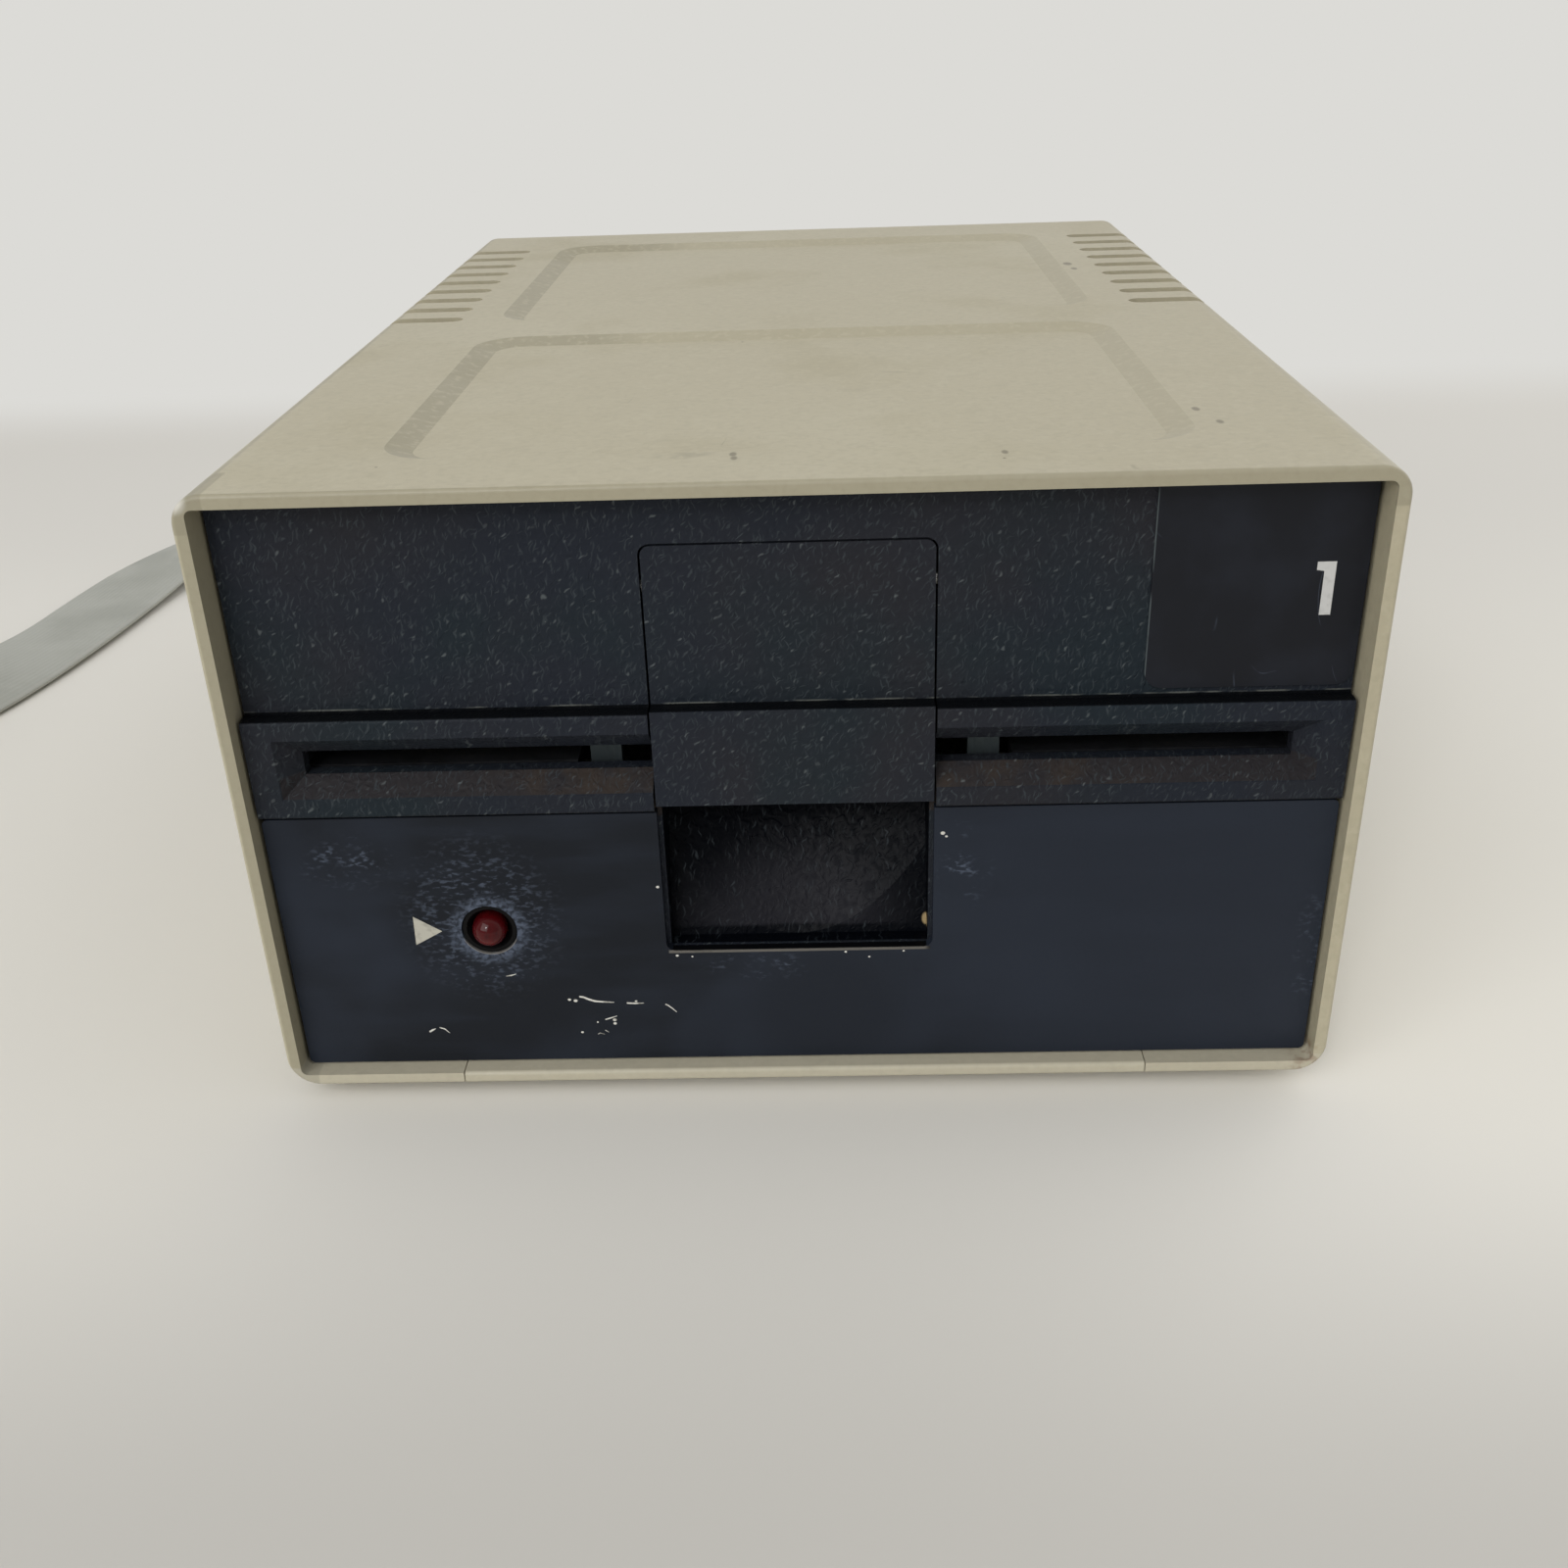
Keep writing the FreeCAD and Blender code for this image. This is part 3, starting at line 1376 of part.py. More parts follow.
def write_lever():
    """Feeler that dips to the media plane at the write-protect notch."""
    y, z = write_switch_place()
    x = (-frame_inner + 6.7, -frame_inner + 9.2)
    hinge = (y + 6, z + 2.5)
    tip = media_z + 0.9
    outline = [
        (hinge[0] + 1.6, hinge[1] - 1.6),
        (hinge[0] + 1.6, hinge[1] + 1.6),
        (y - 6, hinge[1] - 0.2),
        (y - 9, tip),
        (y - 7, tip),
        (y - 5, hinge[1] - 1.4),
    ]
    return side_prism(outline, x).cut(rod((x[0] - 1, hinge[0], hinge[1]), X, 9, 0.9 + running))


def track_switch():
    """Switch beside the carriage, pressed by its rod boss at track zero."""
    y = carriage_rear - 9.0
    x = -rod_half - 7.5
    body = block((x - 7.5, x), around(y, 4), (deck_top, rod_z + 2))
    button = rod((x - 0.5, y, rod_z), X, 3.3, 1.2)
    return joined(softened(body, 0.8, Y), button)


# ---------------------------------------------------------------- ribbon cable


def ribbon_route():
    """Points of the free ribbon with its bank: 0 lies flat and 90 stands on edge."""
    return [
        ((ribbon_x, rear, ribbon_z), 0),
        ((-41, 124, 13.0), 0),
        ((-46, 146, 13.0), 35),
        ((-61, 168, 13.4), 70),
        ((-88, 185, 13.6), 84),
        ((-120, 188, 13.6), 84),
        ((-150, 179, 12.4), 58),
        ((-173, 157, 7.8), 26),
        ((-184, 131, 2.6), 4),
        ((-188, 106, 1.6), 0),
        ((-190.5, 82, 1.6), 0),
        ((-194.5, 58, 2.6), -6),
        ((-199.5, 34, 7.0), -28),
        ((-205.5, 10, 12.0), -60),
        ((-209.6, -8, 13.8), -84),
    ]


def ribbon_stations():
    """Runs and tangent arcs of the route, sampled where the section is placed."""
    route = ribbon_route()
    points = [Vector(*place) for place, bank in route]
    banks = [bank for place, bank in route]
    last = Vector(coil_x + coil_outer + 0.9, coil_y + 9.0, coil_z)
    points.append(last)
    banks.append(-90)
    stations = [(points[0], Y, banks[0])]
    radii = []
    for index in range(1, len(points) - 1):
        before = points[index] - points[index - 1]
        after = points[index + 1] - points[index]
        reach = 0.45 * min(before.Length, after.Length)
        turn = before.getAngle(after)
        radii.append(reach / math.tan(turn / 2))
        a = Vector(before).normalize()
        b = Vector(after).normalize()
        start = points[index] - a * reach
        end = points[index] + b * reach
        middle = (start + end) * 0.5
        sink = (points[index] - middle) * (0.5 / math.cos(turn / 2) ** 2 if turn > 1 else 0.5)
        share = reach / before.Length
        bank_in = banks[index] + (banks[index - 1] - banks[index]) * share
        bank_out = banks[index] + (banks[index + 1] - banks[index]) * (reach / after.Length)
        stations.append((start, a, bank_in))
        stations.append((middle + sink, (a + b).normalize(), banks[index]))
        stations.append((end, b, bank_out))
    stations.append((points[-1], Vector(0, -1, 0), banks[-1]))
    return stations, radii


def ribbon_section(centre, along, bank):
    """Rectangle across the ribbon, turned about its run by the bank."""
    level = Z.cross(along).normalize()
    normal = along.cross(level)
    angle = math.radians(bank)
    across = level * math.cos(angle) + normal * math.sin(angle)
    through = along.cross(across)
    corners = []
    for side, face in ((1, 1), (-1, 1), (-1, -1), (1, -1)):
        corners.append(centre + across * (side * ribbon_width / 2) + through * (face * ribbon_thickness / 2))
    return Part.makePolygon(corners + [corners[0]])


def ribbon_cable():
    stations, radii = ribbon_stations()
    wires = [ribbon_section(*station) for station in stations]
    solid = Part.makeLoft(wires, True, True)
    length = sum((b[0] - a[0]).Length for a, b in zip(stations, stations[1:]))
    print("ribbon radii", [round(radius, 1) for radius in radii])
    print("ribbon length", round(length, 1), "volume ratio",
          round(solid.Volume / (length * ribbon_width * ribbon_thickness), 4))
    return solid


def ribbon_coil():
    """Outer shape of the rolled ribbon, with the bridge to the connector inside it."""
    z = (coil_bottom, coil_top)
    bore = post(coil_x, coil_y, (coil_bottom - 1, coil_top + 1), coil_inner)
    roll = post(coil_x, coil_y, z, coil_outer).cut(bore)
    entry_x = coil_x + coil_outer
    entry = block((entry_x - 3, entry_x + 2.4), (coil_y, coil_y + 9.0), z)
    bridge_y = (coil_y + connector_size[1] / 2, coil_y + coil_inner + 2)
    bridge = block(around(coil_x, 1.5), bridge_y, (coil_rise + 1.4, coil_top))
    return joined(roll, entry, bridge)


def ribbon_tie():
    """Band round the turns of the rolled ribbon."""
    x = (coil_x - coil_outer, coil_x - coil_inner)
    outer = block((x[0] - 1.1, x[1] + 1.3), around(coil_y, 3), (coil_bottom - 0.8, coil_top + 0.8))
    inner = block((x[0] - 0.1, x[1] + 0.5), around(coil_y, 4), (coil_bottom - 0.1, coil_top + 0.1))
    return outer.cut(inner)


def cable_connector():
    """Socket at the end of the ribbon, standing in the middle of the roll."""
    x, y, z = connector_size
    middle = clearance + z / 2
    body = block(around(coil_x, x / 2), around(coil_y, y / 2), around(middle, z / 2))
    body = softened(body, 0.8, Z)
    side = coil_x - x / 2
    key = block((side - 0.8, side + 0.5), around(coil_y - 1, 2), around(middle, 2.2))
    face = coil_y - y / 2
    holes = []
    for row in (-0.5, 0.5):
        for index in range(pin_count // 2):
            place = middle + (index - (pin_count // 2 - 1) / 2) * pin_pitch
            hole_x = around(coil_x + row * pin_pitch, pin_hole / 2)
            holes.append(block(hole_x, (face - 1, face + 3), around(place, pin_hole / 2)))
    return joined(body, key).cut(holes)


nodes = {
    "case_shell": case_shell,
    "base_pan": base_pan,
    "rubber_feet": rubber_feet,
    "case_screws": case_screws,
    "frame_screws": frame_screws,
    "cable_grommet": cable_grommet,
    "front_bezel": front_bezel,
    "front_plate": front_plate,
    "drive_label": drive_label,
    "lamp_bush": lamp_bush,
    "lamp_lens": lamp_lens,
    "door": door,
    "door_pin": door_pin,
    "bezel_screws": bezel_screws,
    "drive_frame": drive_frame,
    "guide_right": guide,
    "guide_left": lambda: mirrored(guide()),
    "guide_screws": guide_screws,
    "spindle_hub": spindle_hub,
    "spindle_bearings": spindle_bearings,
    "spindle_pulley": spindle_pulley,
    "drive_belt": drive_belt,
    "drive_motor": drive_motor,
    "motor_screws": motor_screws,
    "motor_shaft": motor_shaft,
    "motor_pulley": motor_pulley,
    "clamp_arm": clamp_arm,
    "arm_pin": arm_pin,
    "clamp_spring": clamp_spring,
    "clamp_cone": clamp_cone,
    "cone_retainer": cone_retainer,
    "guide_rods": guide_rods,
    "rod_clips": rod_clips,
    "head_carriage": head_carriage,
    "rw_head": rw_head,
    "follower_pin": follower_pin,
    "load_arm": load_arm,
    "load_arm_pin": load_arm_pin,
    "pressure_pad": pressure_pad,
    "cam_disc": cam_disc,
    "stepper_shaft": stepper_shaft,
    "stepper_motor": stepper_motor,
    "stepper_screws": stepper_screws,
    "circuit_board": circuit_board,
    "board_screws": board_screws,
    "board_chips": board_chips,
    "board_capacitors": board_capacitors,
    "ribbon_header": ribbon_header,
    "ribbon_socket": ribbon_socket,
    "inner_ribbon": inner_ribbon,
    "speed_board": speed_board,
    "speed_parts": speed_parts,
    "write_switch": write_switch,
    "write_lever": write_lever,
    "track_switch": track_switch,
    "ribbon_cable": ribbon_cable,
    "ribbon_coil": ribbon_coil,
    "ribbon_tie": ribbon_tie,
    "cable_connector": cable_connector,
}

os.makedirs("parts", exist_ok=True)
for name, make in nodes.items():
    make().exportStep("parts/" + name + ".step")
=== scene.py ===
import math

import bpy
from mathutils import Matrix, Vector


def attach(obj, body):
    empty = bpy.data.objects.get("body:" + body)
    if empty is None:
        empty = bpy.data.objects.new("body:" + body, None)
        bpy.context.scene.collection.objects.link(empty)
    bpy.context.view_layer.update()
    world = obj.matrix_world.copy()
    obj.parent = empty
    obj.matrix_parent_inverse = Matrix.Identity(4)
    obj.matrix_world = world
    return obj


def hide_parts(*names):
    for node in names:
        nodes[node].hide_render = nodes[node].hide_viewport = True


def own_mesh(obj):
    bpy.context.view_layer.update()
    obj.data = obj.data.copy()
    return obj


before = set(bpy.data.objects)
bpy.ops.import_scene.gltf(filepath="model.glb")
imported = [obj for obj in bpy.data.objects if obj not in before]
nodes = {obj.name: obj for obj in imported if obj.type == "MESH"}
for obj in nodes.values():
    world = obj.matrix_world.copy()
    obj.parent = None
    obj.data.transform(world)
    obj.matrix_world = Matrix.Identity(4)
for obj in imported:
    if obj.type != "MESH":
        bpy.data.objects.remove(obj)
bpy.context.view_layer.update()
for name in ("Cube", "Camera", "Light"):  # what a new file brings with it
    if name in bpy.data.objects:
        bpy.data.objects.remove(bpy.data.objects[name])


def toLinear(hexCode):  # sRGB hex to the linear colour that a shader reads
    parts = [int(hexCode[i:i + 2], 16) / 255 for i in (1, 3, 5)]
    return tuple(p / 12.92 if p <= 0.04045 else ((p + 0.055) / 1.055) ** 2.4 for p in parts) + (1.0,)


def addNode(tree, kind, settings=None, links=None):  # sockets and properties by name, links from outputs
    node = tree.nodes.new(kind)
    for name, value in (settings or {}).items():
        if isinstance(name, int) or name in node.inputs:
            node.inputs[name].default_value = value
        else:
            setattr(node, name, value)
    for name, output in (links or {}).items():
        tree.links.new(output, node.inputs[name])
    return node


def addPiece(name, data):
    piece = bpy.data.objects.new(name, data)
    bpy.context.scene.collection.objects.link(piece)
    return piece


def meshPiece(name, points, faces, body, material, smooth=False):
    mesh = bpy.data.meshes.new(name)
    mesh.from_pydata(points, [], faces)
    mesh.validate()
    return dress(addPiece(name, mesh), body, material, smooth)


def dress(piece, body, material, smooth=False):
    piece.data.materials.clear()
    piece.data.materials.append(material)
    piece.data.polygons.foreach_set("use_smooth", [smooth] * len(piece.data.polygons))
    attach(piece, body)
    return piece


def evaluatedMesh(source, name):  # the plain mesh that an object's modifiers make
    bpy.context.view_layer.update()
    mesh = bpy.data.meshes.new_from_object(source.evaluated_get(bpy.context.evaluated_depsgraph_get()))
    mesh.name = name
    return mesh


# camera: placed by the case's edges, in metres and degrees
view = {
    "place": (0.00461, -0.29121, 0.14766),
    "turn": -1.816,
    "down": 27.28,
    "roll": -1.97,
    "lens": 36.10,
    "sensor": 36.0,
    "clip": (0.01, 20),
}


def makeCamera():
    turn, down, roll = (math.radians(view[key]) for key in ("turn", "down", "roll"))
    ahead = Vector((math.sin(turn) * math.cos(down), math.cos(turn) * math.cos(down), -math.sin(down)))
    level = Vector((math.cos(turn), -math.sin(turn), 0))
    upright = level.cross(ahead)
    right = level * math.cos(roll) + upright * math.sin(roll)
    top = upright * math.cos(roll) - level * math.sin(roll)
    data = bpy.data.cameras.new("camera")
    data.lens, data.sensor_width = view["lens"], view["sensor"]
    data.clip_start, data.clip_end = view["clip"]
    camera = addPiece("camera", data)
    turned = Matrix((right, top, -ahead)).transposed().to_4x4()
    camera.matrix_world = Matrix.Translation(view["place"]) @ turned
    bpy.context.scene.camera = camera


makeCamera()
print("camera set")


# patterns that several finishes share; sizes and places are in millimetres
def start(name):
    material = bpy.data.materials.new(name)
    material.use_nodes = True
    tree = material.node_tree
    tree.nodes.clear()
    coords = addNode(tree, "ShaderNodeTexCoord").outputs["Object"]
    shader = addNode(tree, "ShaderNodeBsdfPrincipled")
    addNode(tree, "ShaderNodeOutputMaterial", links={"Surface": shader.outputs[0]})
    return material, tree, coords, shader


def cloud(tree, coords, size, low, high, detail=3, seed=0, stretch=(1, 1, 1), bend=0.0):  # soft patches
    place = addNode(tree, "ShaderNodeMapping", {"Location": (seed, seed, seed), "Scale": stretch},
                    {0: coords})
    noise = addNode(tree, "ShaderNodeTexNoise", {"Scale": 1000 / size, "Detail": detail, "Distortion": bend},
                    {0: place.outputs[0]})
    spread = addNode(tree, "ShaderNodeMapRange", {"interpolation_type": "SMOOTHSTEP", 1: low, 2: high},
                     {0: noise.outputs[0]})
    return spread.outputs[0]


def creases(tree, coords, size, width, seed=0):  # thin curved lines where a noise crosses its middle
    place = addNode(tree, "ShaderNodeMapping", {"Location": (seed, seed, seed)}, {0: coords})
    noise = addNode(tree, "ShaderNodeTexNoise", {"Scale": 1000 / size, "Detail": 1.5, "Distortion": 0.6},
                    {0: place.outputs[0]})
    middle = addNode(tree, "ShaderNodeMath", {"operation": "SUBTRACT", 1: 0.5}, {0: noise.outputs[0]})
    away = addNode(tree, "ShaderNodeMath", {"operation": "ABSOLUTE"}, {0: middle.outputs[0]})
    line = addNode(tree, "ShaderNodeMapRange", {"interpolation_type": "SMOOTHSTEP", 1: width, 2: 0.0},
                   {0: away.outputs[0]})
    return line.outputs[0]


def specks(tree, coords, size, radius, share, seed=0):  # one dot in some cells of a grid of that size
    place = addNode(tree, "ShaderNodeMapping", {"Location": (seed, seed, seed)}, {0: coords})
    cell = addNode(tree, "ShaderNodeTexVoronoi", {"Scale": 1000 / size}, {0: place.outputs[0]})
    dot = addNode(tree, "ShaderNodeMapRange", {1: radius / size, 2: radius / size * 0.6},
                  {0: cell.outputs["Distance"]})
    pick = addNode(tree, "ShaderNodeSeparateColor", links={0: cell.outputs["Color"]})
    kept = addNode(tree, "ShaderNodeMath", {"operation": "LESS_THAN", 1: share}, {0: pick.outputs[0]})
    return allOf(tree, dot.outputs[0], kept.outputs[0])


def facePlane(tree, coords, lean, wander, bend):  # x and height as a flat pattern's axes, a little bent
    parts = addNode(tree, "ShaderNodeSeparateXYZ", links={0: coords})
    depth = addNode(tree, "ShaderNodeMath", {"operation": "MULTIPLY", 1: lean}, {0: parts.outputs[1]})
    up = addNode(tree, "ShaderNodeMath", {"operation": "ADD"}, {0: parts.outputs[2], 1: depth.outputs[0]})
    flat = addNode(tree, "ShaderNodeCombineXYZ", links={0: parts.outputs[0], 1: up.outputs[0]})
    noise = addNode(tree, "ShaderNodeTexNoise", {"Scale": wander, "Detail": 1.0}, {0: coords})
    bent = addNode(tree, "ShaderNodeVectorMath", {"operation": "MULTIPLY_ADD", 1: (bend, bend, 0)},
                   {0: noise.outputs["Color"], 2: flat.outputs[0]})
    return bent.outputs[0]


def strokes(tree, plane, spacing, length, width, turn, share, seed):  # one short stroke in some cells
    lean = addNode(tree, "ShaderNodeMapping", {
        "vector_type": "TEXTURE", "Location": (seed, seed, 0), "Rotation": (0, 0, math.radians(turn)),
        "Scale": (1, length / width, 1)}, {0: plane})
    cell = addNode(tree, "ShaderNodeTexVoronoi", {"voronoi_dimensions": "2D", "Scale": 1000 / spacing},
                   {0: lean.outputs[0]})
    reach = 0.5 * width / spacing
    dot = addNode(tree, "ShaderNodeMapRange",  # soft from the stroke's middle to just past its edge
                  {"interpolation_type": "SMOOTHSTEP", 1: reach * 1.25, 2: reach * 0.3},
                  {0: cell.outputs["Distance"]})
    pick = addNode(tree, "ShaderNodeSeparateColor", links={0: cell.outputs["Color"]})
    kept = addNode(tree, "ShaderNodeMapRange", {1: share, 2: 0.0}, {0: pick.outputs[0]})
    return allOf(tree, dot.outputs[0], kept.outputs[0])


def spot(tree, coords, centre, radius, soft, stretch=(1, 1, 1)):  # 1 within the radius, gone past its edge
    place = addNode(tree, "ShaderNodeVectorMath",
                    {"operation": "SUBTRACT", 1: [value / 1000 for value in centre]}, {0: coords})
    scaled = addNode(tree, "ShaderNodeVectorMath", {"operation": "MULTIPLY", 1: stretch},
                     {0: place.outputs[0]})
    away = addNode(tree, "ShaderNodeVectorMath", {"operation": "LENGTH"}, {0: scaled.outputs[0]})
    mask = addNode(tree, "ShaderNodeMapRange",
                   {"interpolation_type": "SMOOTHSTEP", 1: (radius + soft) / 1000, 2: radius / 1000},
                   {0: away.outputs["Value"]})
    return mask.outputs[0]


def zone(tree, coords, *limits):  # 1 within every pair of planes: axis, low, high, soft edge
    sides = []
    for axis, low, high, soft in limits:
        across = addNode(tree, "ShaderNodeSeparateXYZ", links={0: coords}).outputs[axis]
        for none, full in ((low - soft, low), (high + soft, high)):
            side = addNode(tree, "ShaderNodeMapRange",
                           {"interpolation_type": "SMOOTHSTEP", 1: none / 1000, 2: full / 1000}, {0: across})
            sides.append(side.outputs[0])
    return allOf(tree, *sides)


def allOf(tree, *masks):  # masks and plain shares, multiplied
    product = masks[0]
    for mask in masks[1:]:
        pair = {1: mask} if isinstance(mask, float) else {}
        feed = {0: product} if pair else {0: product, 1: mask}
        product = addNode(tree, "ShaderNodeMath", {"operation": "MULTIPLY", **pair}, feed).outputs[0]
    return product


def most(tree, *masks):
    top = masks[0]
    for mask in masks[1:]:
        top = addNode(tree, "ShaderNodeMath", {"operation": "MAXIMUM"}, {0: top, 1: mask}).outputs[0]
    return top


def outside(tree, mask):
    return addNode(tree, "ShaderNodeMath", {"operation": "SUBTRACT", 0: 1.0}, {1: mask}).outputs[0]


def colour(tree, shader, base, layers):  # each layer: its colour, its strength and the masks that bound it
    under = None
    for hexCode, strength, *masks in layers:
        mask = allOf(tree, *masks) if strength == 1 else allOf(tree, *masks, strength)
        mix = addNode(tree, "ShaderNodeMix", {"data_type": "RGBA", 7: toLinear(hexCode)}, {0: mask})
        if under is None:
            mix.inputs[6].default_value = toLinear(base)
        else:
            tree.links.new(under, mix.inputs[6])
        under = mix.outputs[2]
    tree.links.new(under, shader.inputs["Base Color"])


def relief(tree, shader, heights):  # (height, depth in mm) laid one on the other
    normal = None
    for height, depth in heights:
        links = {"Height": height} if normal is None else {"Height": height, "Normal": normal}
        bump = addNode(tree, "ShaderNodeBump", {"Strength": 1.0, "Distance": depth / 1000}, links)
        normal = bump.outputs[0]
    tree.links.new(normal, shader.inputs["Normal"])


def sheen(tree, shader, mask, low, high):  # roughness between two values by a mask
    spread = addNode(tree, "ShaderNodeMapRange", {3: low, 4: high}, {0: mask})
    tree.links.new(spread.outputs[0], shader.inputs["Roughness"])


# in the settings below a cloud is its size in mm, the noise at which it starts and is full, its detail,
# its seed, its stretch and its bend; a zone is an axis, its low and high limits in mm and its soft edge

materials = {}
coated = set()


def coat(material, wearing):  # the material on each CAD node that the text names
    materials[material.name] = material
    for name in wearing.split():
        node = nodes[name]
        if not node.material_slots:
            node.data.materials.append(material)
        for place in node.material_slots:
            place.material = material
        coated.add(name)


# baked enamel on sheet steel: putty beige, faint orange peel, a few dark specks and handling marks
paint = {
    "base": "#b3ab92", "pale": "#bab39b", "dim": "#a69f87", "chip": "#d6d3c9", "dust": "#8f8974",
    "speck": "#625b4a", "rust": "#7c5c3c", "rough": (0.42, 0.58),
    "wash": (60, 0.42, 0.7, 4), "grime": (34, 0.5, 0.75, 5, 3), "mottle": (3.5, 0.55, 0.75, 2, 9),
    "soil": (1.1, 0.45, 0.7, 3, 14), "bloom": (1.5, 0.5, 0.7, 3, 17), "smudge": (2, 0.35, 0.6, 2, 19),
    "hairs": (40, 0.003, 5), "hairsIn": (14, 0.62, 0.7, 3, 8), "rusted": (1.6, 0.4, 0.6),
    "specks": (9, 0.28, 0.16), "peel": (0.9, 0.2, 0.8, 2), "peelDeep": 0.012, "waves": (7, 0.2, 0.8, 1),
    "wavesDeep": 0.02,
    # slopes, fields and worn bound painted shade on the tilted borders of the pressed fields; worn marks the
    # left-hand borders, where it is deepest
    "slopes": ((0.993, 0.975), (0.88, 0.93)),  # how far up a face looks: none and full
    "fields": (2, 91.4, 92.9, 0.1), "worn": (0, -90, -35, 12),
    "marks": ((-6.8, -92.4, 0.3), (-6.6, -94.2, 0.25), (55.7, 44.9, 0.7), (56.2, 39.0, 0.45),
              (55.9, -75.5, 0.35), (57.6, -82.5, 0.3), (27.8, -94.6, 0.25)),  # x, y and radius on the top
    "top": 92.9, "markSoft": (0.35, (1, 0.5, 0.2)),
    "smear": ((-13.7, -91.5, 92.9), 1.6, 3.2, (0.8, 1.5, 0.2)),
    # the spot at the top left corner of the front rim is a painted glint
    "rustSpot": ((74.2, -103.6, 3.6), 1.2, 3.4), "cornerGlint": ((-75.4, -104.9, 92.1), 0.7, 1.3),
    # topLip and leftLip bound painted shade on the front rim's top edge and on its left side
    "topLip": ((1, -106, -104.5, 0.2), (2, 88, 93, 0.3)),
    "leftLip": ((1, -104.9, -95, 0.2), (0, -75.6, -72, 0.3)),
    # bottomLip bounds a painted highlight along the front rim's bottom edge
    "bottomLip": ((1, -105, -99, 0.3), (2, 0, 5.5, 0.3)),
}


def enamelOnSteel():
    material, tree, coords, shader = start("enamelOnSteel")
    grime = cloud(tree, coords, *paint["grime"])
    facing = addNode(tree, "ShaderNodeTexCoord").outputs["Normal"]
    upward = addNode(tree, "ShaderNodeSeparateXYZ", links={0: facing}).outputs[2]
    slopes = [addNode(tree, "ShaderNodeMapRange", {1: none, 2: full}, {0: upward}).outputs[0]
              for none, full in paint["slopes"]]
    borderShade = allOf(tree, *slopes, zone(tree, coords, paint["fields"]))  # the pressed fields' tilted borders
    soft, stretch = paint["markSoft"]
    marks = [spot(tree, coords, (x, y, paint["top"]), radius, soft, stretch)
             for x, y, radius in paint["marks"]]
    hairs = creases(tree, coords, *paint["hairs"])
    colour(tree, shader, paint["base"], [
        (paint["pale"], 0.55, cloud(tree, coords, *paint["wash"])),
        (paint["dim"], 0.25, grime),
        # painted shade on the tilted borders of the pressed fields, deepest on their left-hand borders
        (paint["dust"], 0.55, borderShade, zone(tree, coords, paint["worn"])),
        (paint["dust"], 0.2, borderShade),
        (paint["dim"], 0.3, cloud(tree, coords, *paint["mottle"])),
        (paint["dim"], 0.4, cloud(tree, coords, *paint["soil"])),
        (paint["pale"], 0.5, cloud(tree, coords, *paint["bloom"])),
        (paint["dust"], 0.5, spot(tree, coords, *paint["smear"]), cloud(tree, coords, *paint["smudge"])),
        (paint["speck"], 0.75, specks(tree, coords, *paint["specks"])),
        (paint["speck"], 0.7, most(tree, *marks)),
        (paint["speck"], 0.4, hairs, cloud(tree, coords, *paint["hairsIn"])),
        (paint["rust"], 0.8, spot(tree, coords, *paint["rustSpot"]), cloud(tree, coords, *paint["rusted"])),
        # painted shade on the front rim's top edge and on its left side
        (paint["dust"], 0.55, zone(tree, coords, *paint["topLip"])),
        (paint["dust"], 0.6, zone(tree, coords, *paint["leftLip"])),
        # painted highlight along the front rim's bottom edge
        (paint["chip"], 0.2, zone(tree, coords, *paint["bottomLip"])),
        # painted glint on the front rim's top left corner
        (paint["chip"], 0.85, spot(tree, coords, *paint["cornerGlint"])),
    ])
    sheen(tree, shader, grime, *paint["rough"])
    relief(tree, shader, [(cloud(tree, coords, *paint["peel"]), paint["peelDeep"]),
                          (cloud(tree, coords, *paint["waves"]), paint["wavesDeep"])])
    return material


